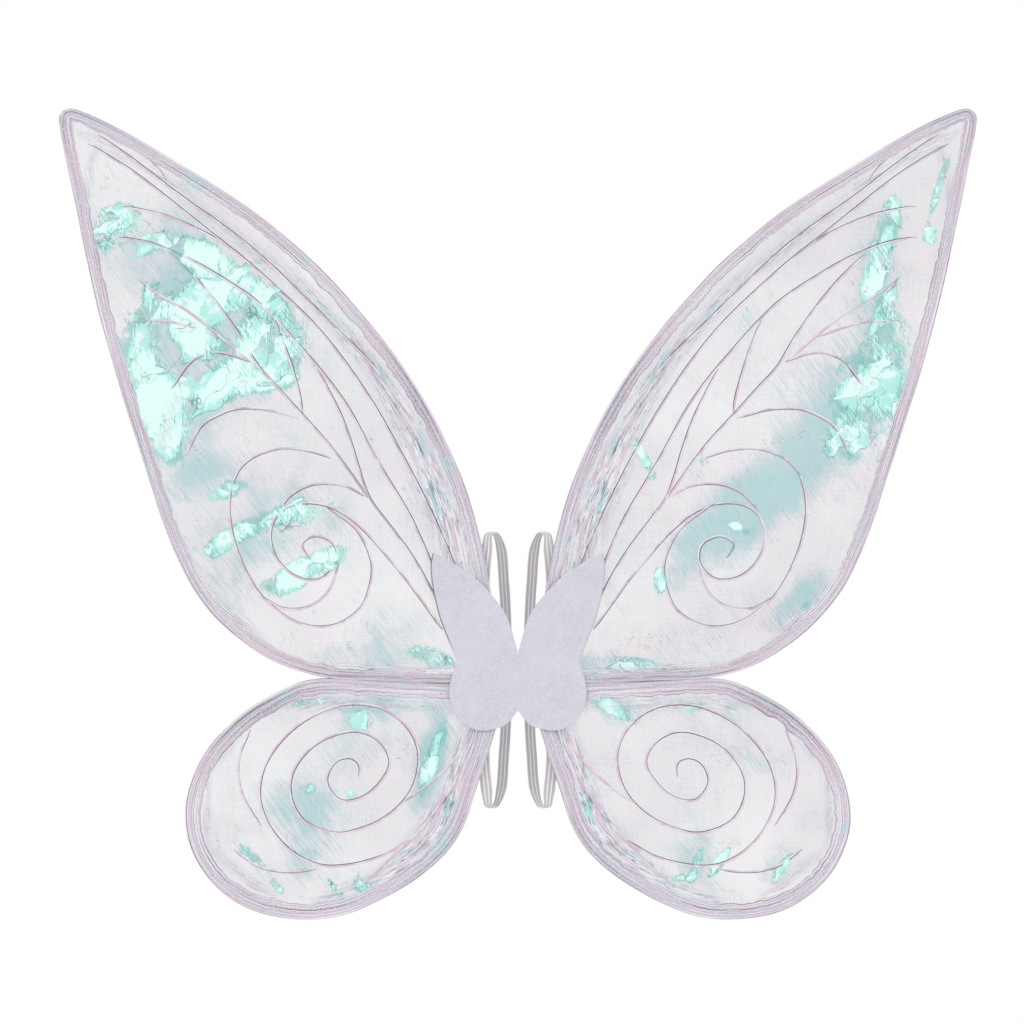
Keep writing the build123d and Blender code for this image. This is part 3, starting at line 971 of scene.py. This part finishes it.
        # Painted shade in the grooves between pleats.
        groove = 1 - np.abs(np.sin(self.pleat_phase(across, run, self.seed + 11)))
        groove = np.where(across > 0.25, groove**3, 0.0)
        partly = 0.55 + 0.5 * ripple_along(run, 60 * MM, self.seed + 24)
        # Painted shade along both edges of the hem, stronger in places.
        rim = np.where((across > 0.955) | (across < 0.07), partly, 0.0)
        note_points(hem, "groove", np.clip(np.maximum(groove, rim), 0, 1))
        blush = 0.1 + 0.3 * ripple(run, across * 30 * MM, 90 * MM, self.seed + 25)
        blush += 0.6 * self.near_root(run[:, 0])[:, None]
        note_points(hem, "blush", np.clip(blush, 0, 0.85))

    def build_hem(self, finishes: Finishes) -> None:
        """The hem: a closed section carried round the outline, with more points where it rounds the wire."""
        over_wire = 8
        start = 0.56 * (0.5 - 0.5 * np.cos(np.linspace(0, math.pi / 2, over_wire + 1)[:-1]))
        side = np.concatenate([start, np.linspace(0.28, 1.0, self.hem_points - over_wire)])
        ring = np.concatenate([side, side[-2:0:-1]])
        back = np.arange(len(ring)) >= self.hem_points
        run = np.arange(len(self.outline)) * OUTLINE_STEP
        places = self.hem_places(ring, run)
        run_grid, across = np.meshgrid(run, ring, indexing="ij")
        front_rise = self.hem_rise(across, run_grid, False)
        back_rise = self.hem_rise(across, run_grid, True)
        y = -WING_DEPTH + np.where(back, back_rise, -front_rise)
        points = np.stack([places[..., 0] * self.side.value, y, places[..., 1]], axis=-1)
        uv = strip_uv(len(run), len(ring), run[-1])
        hem = skin(f"{self.name}_gathered_hem", points, uv, wrap=True)
        self.note_hem(hem, across, run_grid)
        dress(hem, finishes.hem, "hem_film", self.body, f"{self.name}_hem")
        cut = (self.hem_spread * self.band, float(run[-1]))
        f"{self.name}_wire_frame"

    def build_thread(self, finishes: Finishes) -> None:
        """Running stitches along the hem: short bars that dip into the cloth at both ends."""
        bar_points, clear_of_ends = 5, 6 * MM
        centre = self.inset(self.stitch_line * self.band)
        run = running_length(centre)
        starts = np.arange(clear_of_ends, run[-1] - clear_of_ends, self.stitch_pitch)
        share = np.linspace(0.0, 1.0, bar_points)
        spots = starts[:, None] + share * self.stitch_length
        x, z = (np.interp(spots, run, column) for column in centre.T)
        along = unit(np.stack([np.gradient(x, axis=1), np.gradient(z, axis=1)], axis=-1))
        sideways = np.stack([along[..., 1], -along[..., 0]], axis=-1)
        outline_run = np.interp(spots, run, np.arange(len(centre)) * OUTLINE_STEP)
        rise = self.hem_rise(np.full(spots.shape, self.stitch_line), outline_run, False)
        arch = rise + self.stitch_radius * (1.6 * np.sin(math.pi * share) - 0.9)
        spread, lift = round_section(self.stitch_radius).T
        points = np.stack([
            (x[..., None] + sideways[..., :1] * spread) * self.side.value,
            -WING_DEPTH - (arch[..., None] + lift),
            z[..., None] + sideways[..., 1:] * spread,
        ], axis=-1)
        uv = strip_uv(bar_points, THREAD_SIDES, self.stitch_length)
        stitches = [skin(f"{self.name}_stitch_{i}", bar, uv, wrap=True) for i, bar in enumerate(points)]
        thread = joined(f"{self.name}_hem_stitches", stitches)
        dress(thread, finishes.thread, "thread", self.body, f"{self.name}_hem_thread")

    def build_lines(self, kind: str, lines: tuple, finishes: Finishes) -> None:
        """Every raised line of a kind, as one piece."""
        parts = [self.raised_line(f"{self.name}_{kind}_{i}", line, i) for i, line in enumerate(lines)]
        whole = joined(f"{self.name}_{kind}_raised", parts)
        dress(whole, finishes.rib, "rib_ink", self.body, f"{self.name}_{kind}")

    def raised_line(self, name: str, line: Line, number: int) -> bpy.types.Object:
        """One raised line: half a round bead and a thin lip beside it, painted dark as the bead's shadow, swept
        over the film.

        Args:
            name: the new object's name.
            line: the line's places, darkness and width.
            number: the line's place among its kind, which picks how its darkness fades.

        Returns:
            The new object, thinner at both ends.
        """
        places = np.array(line.places, float) * MM
        route = rounded_path(places, max(8, round(path_length(places) / LINE_STEP)))
        near, _ = self.edge_distance(route[:, 0], route[:, 1])
        route = route[near > self.band * 0.8]
        x, z = route.T
        y = self.film_y(x, z) - self.film_thickness / 2
        along = headings(route)
        half = line.width / 2 * MM
        bead = np.linspace(math.pi, 0, 7)
        section = np.concatenate([
            np.stack([half * np.cos(bead), self.bead_height * np.sin(bead)], axis=1),
            [[half + 0.08 * MM, 0.1 * MM], [half + 0.3 * MM, 0.26 * MM], [half + 0.56 * MM, 0.0]],
            [[0.0, -0.2 * MM]],
        ])
        steps = np.arange(len(route))
        thin = 0.45 + 0.55 * ease(np.minimum(steps, steps[::-1]) * LINE_STEP / self.line_taper)
        sections = section * thin[:, None, None]
        across = np.stack([along[:, 1], 0 * y, -along[:, 0]], axis=1)
        outwards = np.broadcast_to([0.0, -1.0, 0.0], across.shape)
        points = sweep(np.stack([x, y, z], axis=1), across, outwards, sections)
        points[..., 0] *= self.side.value
        part = skin(name, points, strip_uv(len(route), len(section), len(route) * LINE_STEP), wrap=True)
        # The lip beside the bead is painted dark as the bead's shadow, fading along the line.
        dark = np.zeros(points.shape[:2])
        fade = 1 + 0.3 * ripple(x, z, 60 * MM, self.seed + 31 + number)
        dark[:, len(bead) : len(bead) + 3] = np.clip(line.dark * fade, 0, 1)[:, None]
        note_points(part, "crease", dark)
        return part


def repaint(node: str, material: bpy.types.Material) -> None:
    """Gives a CAD node a better finish."""
    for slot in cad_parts[node].material_slots:
        slot.material = material


UPPER_CORNERS = (
    (11, 6.5), (17, 47), (24, 84), (32, 115), (46, 151), (66, 189), (91, 225), (129, 269), (173, 308),
    (226, 342), (281, 373.5), (314, 385), (304, 337), (288, 258), (271, 195), (252, 137), (236, 86),
    (214, 43), (176, 10.5), (138, -5.4), (88, -7.2), (40, -9.2), (11, -9.0),
)
LOWER_CORNERS = (
    (11, -9.5), (44, -9.1), (88, -7.1), (138, -3.9), (159, -12.3), (187, -28), (209, -50), (222, -74),
    (226.5, -100), (220.5, -124), (208, -144), (186, -161), (156, -169), (122, -168), (91, -155),
    (60, -136), (38, -112), (28, -79), (19, -54), (11, -26),
)

UPPER_RIBS = (
    Line(((284, 362), (260, 346), (234, 325), (208, 307), (182, 288), (154, 262), (127, 235), (98, 207)), 0.9),
    Line(((291, 356), (266, 342), (240, 322), (213, 300), (188, 281), (162, 258), (137, 234), (117, 209),
          (102, 187), (91, 169), (74, 138), (62, 114), (52, 92), (46, 78), (41, 66)), 1.0),
    Line(((270, 293), (253, 291), (237, 285), (219, 277), (199, 265), (179, 252), (163, 237), (149, 221),
          (134, 204), (121, 187), (113, 175), (104, 158), (95, 141), (74, 107), (66, 90), (56, 66)), 0.9),
    Line(((165, 237), (156, 215), (151, 198), (147, 184), (146, 174)), 0.85),
    Line(((236, 282), (222, 270), (208, 254), (196, 238), (186, 223), (176, 205), (164, 193), (148, 175),
          (132, 158), (124, 148), (107, 125), (102, 117)), 0.75),
    Line(((136, 204), (124, 182), (117, 166), (112, 151), (107, 134), (101, 116), (89, 101), (71, 77),
          (60, 57), (53, 44), (47, 32)), 0.95),
    Line(((181, 209), (192, 218), (208, 232), (221, 242), (232, 249), (243, 254), (258, 266)), 0.25),
    Line(((203, 226), (213, 230), (225, 234), (237, 237), (251, 237)), 0.25),
    Line(((269, 314), (248, 311), (228, 304), (205, 293), (186, 280)), 0.7),
    Line(((250, 346), (244, 340), (238, 332)), 0.6),
)
UPPER_SWIRLS = (
    Line(((181, 209), (190, 213), (198, 215), (206, 216), (215, 213), (221, 210), (227, 203), (236, 189)), 0.7),
    Line(((148, 171), (158, 174), (169, 177), (183, 178), (194, 177), (203, 173), (211, 169), (218, 162),
          (225, 145)), 0.55),
    Line(((127, 144), (136, 148), (147, 150), (158, 151), (169, 149), (179, 145), (186, 140), (191, 133),
          (194, 124), (196, 111), (194, 94), (190, 80), (183, 64), (175, 51), (165, 42), (154, 34), (143, 30),
          (132, 29), (121, 31), (110, 38), (103, 46), (98, 65), (99, 76), (104, 88), (112, 100), (132, 113)), 0.55),
    Line(((51, 28), (58, 38), (68, 52), (77, 64), (88, 77), (99, 90), (107, 98), (118, 107), (129, 112),
          (140, 114), (152, 113), (160, 109), (165, 103), (168, 94), (167, 83), (162, 73), (154, 65),
          (144, 61), (134, 61), (127, 66), (122, 73), (122, 80), (124, 86), (130, 90), (138, 92),
          (147, 87), (146, 81), (141, 76)), 0.65),
    Line(((175, 51), (164, 43), (154, 41), (144, 42), (135, 46), (128, 53), (124, 61), (121, 73)), 0.4),
    Line(((104, 118), (111, 123), (119, 126), (129, 127), (140, 126), (150, 122), (157, 116), (163, 108)), 0.5),
)
LOWER_RIBS = (
    Line(((34, -46), (41, -59), (55, -72), (69, -83), (76, -88)), 0.3),
    Line(((33, -47), (40, -72), (53, -90), (67, -110), (81, -121), (93, -133), (102, -143)), 0.3),
    Line(((181, -40), (188, -53), (190, -67), (188, -82), (181, -96), (174, -105)), 0.6),
    Line(((136, -134), (148, -136), (162, -136), (175, -133), (184, -127), (192, -121)), 0.6),
)
LOWER_SWIRLS = (
    Line(((108, -72), (106, -67), (108, -61), (115, -58), (124, -61), (129, -69), (130, -77), (125, -85),
          (119, -89), (110, -88), (101, -84), (93, -76), (87, -67), (86, -59), (91, -50), (98, -44), (110, -40),
          (124, -43), (137, -49), (147, -59), (153, -69), (155, -79), (153, -90), (146, -102), (134, -108),
          (121, -111), (108, -108), (93, -102), (81, -93), (72, -82), (68, -71), (66, -58), (70, -44),
          (79, -33), (91, -25), (106, -22), (121, -23), (137, -29), (151, -38), (162, -49), (171, -62),
          (175, -76), (175, -90), (169, -105), (160, -117), (146, -128), (131, -133), (115, -132),
          (101, -129), (85, -123), (74, -115)), 0.75, 1.3),
)

# Where each wing's crisp painted reflections lie, in millimetres.
UPPER_LEFT_FLASHES = (
    Flash(212, 232, 66, 40, -52, 0.42),
    Flash(268, 296, 22, 20, 20, 0.62), Flash(208, 272, 42, 9, 34, 0.85), Flash(228, 236, 12, 26, -40, 0.95),
    Flash(196, 246, 30, 10, 36, 0.6), Flash(248, 190, 13, 50, -19, 0.95), Flash(205, 193, 34, 13, -16, 0.85),
    Flash(162, 214, 18, 22, 30, 0.8), Flash(238, 170, 14, 22, -10, 0.8), Flash(158, 104, 31, 8, -17, 1.3),
    Flash(200, 86, 14, 6, -30, 0.9), Flash(146, 66, 31, 8, -27, 1.25), Flash(198, 122, 15, 6, -20, 0.95),
    Flash(58, 8, 16, 7, 20, 0.7), Flash(216, 50, 4, 15, -28, 0.75), Flash(190, 266, 34, 8, 34, 0.75),
)
UPPER_RIGHT_FLASHES = (
    Flash(252, 302, 8, 20, -14, 0.85), Flash(245, 266, 12, 24, -8, 0.8), Flash(250, 226, 15, 22, 4, 0.9),
    Flash(240, 186, 25, 27, -24, 1.15), Flash(222, 156, 17, 15, -30, 0.95), Flash(148, 98, 9, 3.5, -34, 1.1),
    Flash(286, 330, 3, 22, -18, 0.72), Flash(86, 142, 3.5, 16, 26, 0.95), Flash(96, 60, 4, 12, 0, 0.55),
    Flash(70, 5, 24, 5, -4, 0.72), Flash(208, 46, 3.5, 14, -40, 1.05), Flash(279, 296, 5, 8, 0, 0.6),
)
LOWER_LEFT_FLASHES = (
    Flash(106, -32, 12, 9, 50, 0.66), Flash(58, -60, 5, 28, 18, 0.66), Flash(144, -22, 13, 3, -6, 0.62),
    Flash(174, -134, 4, 21, -41, 0.8), Flash(107, -143, 6, 10, -45, 0.72), Flash(123, -148, 2.5, 9, -36, 0.7),
    Flash(193, -45, 3, 11, 24, 0.6), Flash(145, -80, 8, 4, 0, 0.6), Flash(112, -84, 5, 4, 0, 0.55),
    Flash(34, -82, 4, 9, 30, 0.5),
)
LOWER_RIGHT_FLASHES = (
    Flash(62, -24, 18, 5, -30, 0.7), Flash(120, -134, 3.5, 14, -20, 0.8), Flash(136, -130, 3.5, 12, -34, 0.7),
    Flash(178, -134, 3, 16, -38, 0.72), Flash(112, -140, 8, 3, 10, 0.55), Flash(46, -96, 3, 16, 22, 0.5),
    Flash(116, -24, 14, 3, 0, 0.5),
)

# Where each wing's soft painted reflections lie, in millimetres.
UPPER_LEFT_SOFT_REFLECTIONS = (
    Flash(240, 290, 46, 40, 20, 0.5), Flash(200, 226, 62, 50, 20, 0.72), Flash(230, 160, 30, 40, -10, 0.6),
    Flash(200, 134, 34, 16, -20, 0.5), Flash(172, 96, 60, 30, -20, 0.62), Flash(90, 36, 40, 26, 30, 0.3),
    Flash(110, 8, 70, 12, 0, 0.35),
)
UPPER_RIGHT_SOFT_REFLECTIONS = (
    Flash(244, 260, 20, 56, -8, 0.6), Flash(226, 180, 34, 44, -30, 0.95), Flash(176, 130, 50, 26, 40, 0.85),
    Flash(140, 96, 40, 22, 30, 0.7), Flash(110, 72, 14, 20, 0, 0.35), Flash(190, 48, 34, 11, 44, 0.85),
    Flash(150, 238, 16, 22, 20, 0.4), Flash(62, 52, 26, 10, -40, 0.45), Flash(66, 4, 36, 10, 0, 0.5),
)
LOWER_LEFT_SOFT_REFLECTIONS = (
    Flash(112, -44, 26, 34, 30, 0.55), Flash(60, -64, 10, 38, 18, 1.2), Flash(146, -96, 22, 32, -40, 0.85),
    Flash(150, -130, 20, 12, 40, 0.55), Flash(174, -134, 8, 24, -41, 0.6), Flash(76, -24, 34, 10, 0, 0.5),
)
LOWER_RIGHT_SOFT_REFLECTIONS = (
    Flash(60, -24, 30, 14, -20, 0.55), Flash(120, -26, 50, 10, -6, 0.4), Flash(122, -126, 16, 20, -30, 0.6),
    Flash(176, -132, 12, 22, -38, 0.55), Flash(48, -92, 10, 30, 22, 0.45), Flash(160, -60, 16, 30, 20, 0.3),
)

UPPER_GATHERS = (
    Flash(52, 110, 12, 52, -22, 1.0), Flash(82, 176, 7, 44, -30, 0.75), Flash(120, 230, 6, 50, -42, 0.6),
    Flash(180, 286, 60, 5, 37, 0.45), Flash(262, 346, 50, 4, 28, 0.4), Flash(296, 312, 4, 50, 14, 0.5),
    Flash(110, 0, 90, 5, 0, 0.6), Flash(196, 40, 34, 5, 42, 0.6), Flash(246, 140, 4, 70, 18, 0.4),
)
LOWER_GATHERS = (
    Flash(40, -70, 9, 52, 20, 1.0), Flash(70, -120, 34, 8, -52, 0.8), Flash(110, -148, 44, 6, -24, 0.6),
    Flash(180, -144, 34, 4, 40, 0.5), Flash(212, -90, 4, 40, 0, 0.5), Flash(120, -22, 90, 5, 0, 0.5),
    Flash(196, -48, 5, 22, 34, 0.5),
)

UPPER_PATTERN = Pattern(
    level="upper", corners=UPPER_CORNERS, tip_corner=11, band=8.5,
    ribs=UPPER_RIBS, swirls=UPPER_SWIRLS, gathers=UPPER_GATHERS, gather_root=True,
)
LOWER_PATTERN = Pattern(
    level="lower", corners=LOWER_CORNERS, tip_corner=8, band=10.5,
    ribs=LOWER_RIBS, swirls=LOWER_SWIRLS, gathers=LOWER_GATHERS, gather_root=False,
)


# ---------------------------------------------------------------- felt


@dataclass
class FeltHalf:
    """Half of one felt butterfly, from the middle out."""

    side: Side
    layer: str
    near_y: float
    inset: float
    lift: float
    # How dark the painted shadow under the ear's curled outer edge is.
    curl_shadow: float = 0.0
    rows: int = 96
    cols: int = 48
    round_edge: float = 0.7 * MM

    # Both edges from the lower notch up to the ear's tip, in millimetres, and which place is the waist
    INNER_EDGE = ((0, -27), (0, -14), (0, 0), (0, 12), (2.2, 20), (8, 37.5), (17, 50.4), (28, 62),
                  (43, 72.5), (57.5, 80))
    OUTER_EDGE = ((0, -27), (8, -36.5), (17, -39.8), (28, -40.2), (38, -35), (45, -24), (46.4, -11),
                  (43, 1), (41, 6), (46, 18), (53, 36), (57.6, 56), (59, 71), (57.5, 80))
    INNER_WAIST = 3
    OUTER_WAIST = 8
    WAIST_SHARE = 0.45
    CENTRE = (0.0, 6 * MM)
    HALF_WIDTH = 55 * MM

    def edge(self, places: tuple, waist: int) -> Array:
        """One edge of the half, in metres, with its waist at a fixed share of its points."""
        spots = np.array(places, float) * MM
        count = round(self.rows * self.WAIST_SHARE)
        low = even_steps(drawn_line(spots[: waist + 1], 0.5 * MM), count)
        high = even_steps(drawn_line(spots[waist:], 0.5 * MM), self.rows - count + 1)
        return np.concatenate([low, high[1:]])

    def build(self, finishes: Finishes) -> None:
        """The half: rulings between its inner and outer edges, front and back, rounded at the rim."""
        inner = self.edge(self.INNER_EDGE, self.INNER_WAIST)
        outer = self.edge(self.OUTER_EDGE, self.OUTER_WAIST)
        share = ease(np.linspace(0, 1, self.cols))[None, :, None]
        flat = inner[:, None] * (1 - share) + outer[:, None] * share
        # The smaller felt is the larger one drawn in towards a point on its own middle line.
        flat = self.CENTRE + (flat - self.CENTRE) * (1 - self.inset / self.HALF_WIDTH)
        x, z = flat[..., 0], flat[..., 1]
        rim = self.rim_distance(flat)
        to_go = np.clip(self.round_edge - rim, 0, None)
        round_off = self.round_edge - np.sqrt(np.clip(self.round_edge**2 - to_go**2, 0, None))
        uneven = 0.1 * MM * ripple(x, z, 7 * MM, 5) * ease(x / (4 * MM))
        raised = self.lift * ease((z - 20 * MM) / (70 * MM)) ** 1.2 * ease((x - 8 * MM) / (30 * MM))
        outer_y = self.near_y - FELT + round_off + uneven - raised
        inner_y = self.near_y - round_off * 0.7 + uneven * 0.5 - raised
        front = np.stack([x, outer_y, z], axis=-1)
        back = np.stack([x, inner_y, z], axis=-1)[:, ::-1]
        points = np.concatenate([front, back], axis=1)
        points[..., 0] *= self.side.value
        uv = strip_uv(self.rows, 2 * self.cols, 0.1)
        felt = skin(f"{self.layer}_felt_{self.side.word}_half", points, uv, wrap=True)
        outer_side = np.arange(self.cols)[None] > self.cols // 2
        # Painted shadow under the ear's curled edge: within about a millimetre of the outer rim, from 10 mm up the
        # ear.
        ear_edge = ease((z - 10 * MM) / (14 * MM)) * (1 - ease((rim - 0.4 * MM) / (0.8 * MM))) * outer_side
        curl_shadow = self.curl_shadow * np.concatenate([ear_edge, ear_edge[:, ::-1]], axis=1)
        note_points(felt, "curl_shadow", curl_shadow)
        nodes = [f"{self.layer}_felt_{self.side.word}"]
        if self.side is Side.RIGHT:
            nodes.append(f"{self.layer}_felt_middle")
        felt.data.materials.append(finishes.felt)
        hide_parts(*nodes)
        f"{self.side.word}_wings"
        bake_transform(felt)
        log.info("%s: bends between centre and %s_wings", felt.name, self.side.word)

    def rim_distance(self, flat: Array) -> Array:
        """How far each place is from the half's cut edge, leaving out the line at the middle."""
        edge = np.concatenate([flat[:, 0], flat[:, -1]])
        edge = edge[edge[:, 0] > 0.3 * MM]
        places = flat.reshape(-1, 1, 2)
        return np.sqrt(((places - edge[None]) ** 2).sum(axis=2).min(axis=1)).reshape(flat.shape[:2])


# ---------------------------------------------------------------- arm loops


@dataclass
class ArmLoop:
    """One arm loop: a closed band of ribbed elastic, sewn down one leg, with its tacks."""

    side: Side
    x: float = 23.0 * MM
    width: float = 8.0 * MM
    thick: float = 1.0 * MM
    half_height: float = 93.0 * MM
    depth: float = 38.0 * MM
    turn: float = math.radians(24.0)
    lean: float = 2.4 * MM
    pinch: float = 0.3
    cords: int = 3
    steps: int = 460
    tack_levels: tuple = (44.0 * MM, -26.0 * MM)
    tack_half_width: float = 3.1 * MM
    tack_height: float = 2.8 * MM
    tack_turns: int = 10
    tack_points: int = 121
    tack_thread: float = 0.17 * MM

    # The band's upper corners, as shares of its depth and of its half height
    BOW = ((0, 0.45), (0, 0.93), (0.02, 1.0), (0.42, 1.01), (0.84, 0.76), (1, 0.3))

    def centre_line(self) -> tuple[Array, Array]:
        """The band's middle line as (distance from the sewn leg, height), and the same in space."""
        h, d = self.half_height, self.depth
        upper = [(out * d, high * h) for out, high in self.BOW]
        corners = np.array(upper + [(out, -high) for out, high in reversed(upper)])
        flat = rounded_path(corners, self.steps + 1, closed=True)[:-1]
        lean = self.lean * ease((np.abs(flat[:, 1]) - 0.62 * h) / (0.38 * h))
        bowed = np.stack([
            self.x - lean - flat[:, 0] * math.sin(self.turn),
            self.thick / 2 + flat[:, 0] * math.cos(self.turn),
            flat[:, 1],
        ], axis=1)
        return flat, bowed

    def build(self, finishes: Finishes) -> None:
        """The elastic, whose section is a flat band with raised cords on both faces."""
        flat, line = self.centre_line()
        twist = self.turn * ease(flat[:, 0] / (8 * MM))
        along = unit(np.roll(line, -1, axis=0) - np.roll(line, 1, axis=0))
        across = np.stack([np.cos(twist), np.sin(twist), 0 * twist], axis=1)
        up = unit(np.cross(along, across))
        share = np.linspace(-1, 1, 25)
        cord = np.abs(np.cos(math.pi / 2 * self.cords * (share + 1) + math.pi / 2)) ** 0.6
        edge = np.sqrt(np.clip(1 - np.abs(share) ** 14, 0, None))
        rise = self.thick / 2 * (0.62 + 0.38 * cord) * np.maximum(edge, 0.15)
        top = np.stack([share * self.width / 2, rise], axis=1)
        section = np.concatenate([top, top[-2:0:-1] * [1, -1]])
        closed = np.concatenate([np.arange(self.steps), [0]])
        narrow = 1 - self.pinch * ease((np.abs(flat[:, 1]) / self.half_height - 0.86) / 0.14)
        sections = section[None] * np.stack([narrow, np.ones_like(narrow)], axis=1)[:, None]
        points = sweep(line[closed], across[closed], up[closed], sections[closed])
        points[..., 0] *= self.side.value
        length = path_length(line[closed])
        uv = strip_uv(self.steps + 1, len(section), length)
        band = skin(f"{self.side.word}_arm_loop", points, uv, wrap=True)
        valley = np.concatenate([1 - cord, (1 - cord)[-2:0:-1]])
        note_points(band, "groove", np.broadcast_to(valley, points.shape[:2]))
        self.close_ends(band)
        band.data.materials.append(finishes.elastic)
        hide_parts(f"{self.side.word}_strap_sewn_leg", f"{self.side.word}_strap_loop")
        f"{self.side.word}_wings"
        f"{self.side.word}_strap"
        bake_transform(band)
        log.info("%s: %.0f mm round", band.name, length / MM)
        self.build_tacks(finishes)

    def close_ends(self, band: bpy.types.Object) -> None:
        """Joins the band's last ring to its first, and takes out the two end faces."""
        work = bmesh.new()
        work.from_mesh(band.data)
        ends = [f for f in work.faces if len(f.verts) > 4]
        bmesh.ops.delete(work, geom=ends, context="FACES_ONLY")
        bmesh.ops.remove_doubles(work, verts=work.verts, dist=1e-6)
        work.to_mesh(band.data)
        work.free()

    def build_tacks(self, finishes: Finishes) -> None:
        """Bar tacks: zigzag thread across the sewn leg, at two heights."""
        turns = np.linspace(0, 1, self.tack_points)
        zig = np.abs((turns * self.tack_turns) % 2 - 1) * 2 - 1
        x = self.x + zig * self.tack_half_width
        y = self.thick + 0.16 * MM * (1.4 - zig**8)
        uv = strip_uv(self.tack_points, THREAD_SIDES, 0.07)
        parts = []
        for i, level in enumerate(self.tack_levels):
            z = level + (turns - 0.5) * self.tack_height
            path = np.stack([x * self.side.value, y, z], axis=1)
            up = np.broadcast_to([0.0, 1.0, 0.0], path.shape)
            across = unit(np.cross(headings(path), up))
            points = sweep(path, across, up, round_section(self.tack_thread))
            parts.append(skin(f"{self.side.word}_tack_{i}", points, uv, wrap=True))
        tacks = joined(f"{self.side.word}_bar_tacks", parts)
        dress(tacks, finishes.thread, "thread", f"{self.side.word}_wings", f"{self.side.word}_strap_tacks")


# ---------------------------------------------------------------- studio


@dataclass
class Studio:
    """Plain white studio: soft light all round, three large lamps, a pale floor, and a camera square on."""

    centre_x: float = -4.0 * MM
    centre_z: float = 107.3 * MM
    frame_width: float = 693.0 * MM
    lens: float = 150.0
    floor_z: float = -0.32
    floor_radius: float = 0.6

    # Each lamp's place and size in metres, and its power in watts
    LAMPS = {
        "key": ((-1.3, -1.6, 1.5), 1.4, 16.0),
        "fill": ((1.6, -1.2, 0.4), 1.6, 7.0),
        "back": ((0.3, 1.7, 1.3), 1.4, 8.0),
    }

    def build(self) -> None:
        """Makes the world, lamps, floor and camera."""
        self.build_world()
        for name, (place, size, power) in self.LAMPS.items():
            self.lamp(name, place, size, power)
        self.build_floor()
        self.build_camera()
        bpy.context.scene.view_settings.view_transform = "Standard"

    def build_world(self) -> None:
        """White all round; what the camera sees directly is a little brighter than what lights the wings."""
        world = bpy.data.worlds.new("studio")
        bpy.context.scene.world = world
        world.use_nodes = True
        nodes, links = world.node_tree.nodes, world.node_tree.links
        nodes.clear()
        seen = nodes.new("ShaderNodeBackground")
        seen.inputs["Strength"].default_value = 1.0
        light = nodes.new("ShaderNodeBackground")
        light.inputs["Strength"].default_value = 0.8
        for shader in (seen, light):
            shader.inputs["Color"].default_value = (1.0, 1.0, 1.0, 1.0)
        which = nodes.new("ShaderNodeLightPath")
        mixed = nodes.new("ShaderNodeMixShader")
        out = nodes.new("ShaderNodeOutputWorld")
        links.new(which.outputs["Is Camera Ray"], mixed.inputs[0])
        links.new(light.outputs[0], mixed.inputs[1])
        links.new(seen.outputs[0], mixed.inputs[2])
        links.new(mixed.outputs[0], out.inputs["Surface"])

    def lamp(self, name: str, place: tuple, size: float, power: float) -> None:
        """A square lamp that looks at the middle of the wings."""
        data = bpy.data.lights.new(name, "AREA")
        data.size = size
        data.energy = power
        lamp = bpy.data.objects.new(name, data)
        lamp.location = place
        aim = Vector((0.0, 0.0, self.centre_z)) - lamp.location
        lamp.rotation_euler = aim.to_track_quat("-Z", "Y").to_euler()
        bpy.context.scene.collection.objects.link(lamp)

    def build_floor(self) -> None:
        """A pale round floor, under the wings and below the camera's view: rings at growing radius."""
        rings, spokes = np.linspace(0.001, self.floor_radius, 13), np.linspace(0, TAU, 97)
        radius, angle = np.meshgrid(rings, spokes, indexing="ij")
        x, y = radius * np.cos(angle), radius * np.sin(angle)
        points = np.stack([x, y, np.full_like(x, self.floor_z)], axis=-1)
        floor = skin("studio_floor", points, np.stack([x, y], axis=-1), outward=np.array([0.0, 0.0, 1.0]))
        r = Recipe("pale floor")
        cloud = r.mix(r.noise(r.place(), 3.0, 2.0), shade(246, 246, 246), shade(250, 250, 250))
        floor.data.materials.append(r.finish(base_color=cloud, roughness=0.9))

    def build_camera(self) -> None:
        """A long lens, square on to the wings' outer side."""
        data = bpy.data.cameras.new("camera")
        data.lens = self.lens
        camera = bpy.data.objects.new("camera", data)
        away = self.frame_width * data.lens / data.sensor_width
        camera.location = (self.centre_x, -away - WING_DEPTH, self.centre_z)
        camera.rotation_euler = (math.pi / 2, 0.0, 0.0)
        bpy.context.scene.collection.objects.link(camera)
        bpy.context.scene.camera = camera


def main() -> None:
    """Builds every piece in turn."""
    logging.basicConfig(level=logging.INFO, format="%(message)s", stream=sys.stdout)
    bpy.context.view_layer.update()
    Studio().build()
    finishes = Finishes()
    wings = (
        (UPPER_PATTERN, Side.LEFT, UPPER_LEFT_FLASHES, UPPER_LEFT_SOFT_REFLECTIONS),
        (UPPER_PATTERN, Side.RIGHT, UPPER_RIGHT_FLASHES, UPPER_RIGHT_SOFT_REFLECTIONS),
        (LOWER_PATTERN, Side.LEFT, LOWER_LEFT_FLASHES, LOWER_LEFT_SOFT_REFLECTIONS),
        (LOWER_PATTERN, Side.RIGHT, LOWER_RIGHT_FLASHES, LOWER_RIGHT_SOFT_REFLECTIONS),
    )
    for number, marks in enumerate(wings):
        Wing(*marks, seed=100 * (number + 1)).build(finishes)
    for side in Side:
        # Strength of the painted shadow under each outer felt's curled ear edge, darker on the left.
        curl_shadow_strength = 0.9 if side is Side.LEFT else 0.25
        near_y = -FELT - WIRE_ROOM
        FeltHalf(side, "outer", near_y, inset=0.0, lift=2.0 * MM, curl_shadow=curl_shadow_strength).build(finishes)
        FeltHalf(side, "inner", near_y=0.0, inset=2.0 * MM, lift=0.0).build(finishes)
        ArmLoop(side).build(finishes)
    repaint("fold_tape", finishes.tape)


if __name__ == "__main__":
    main()
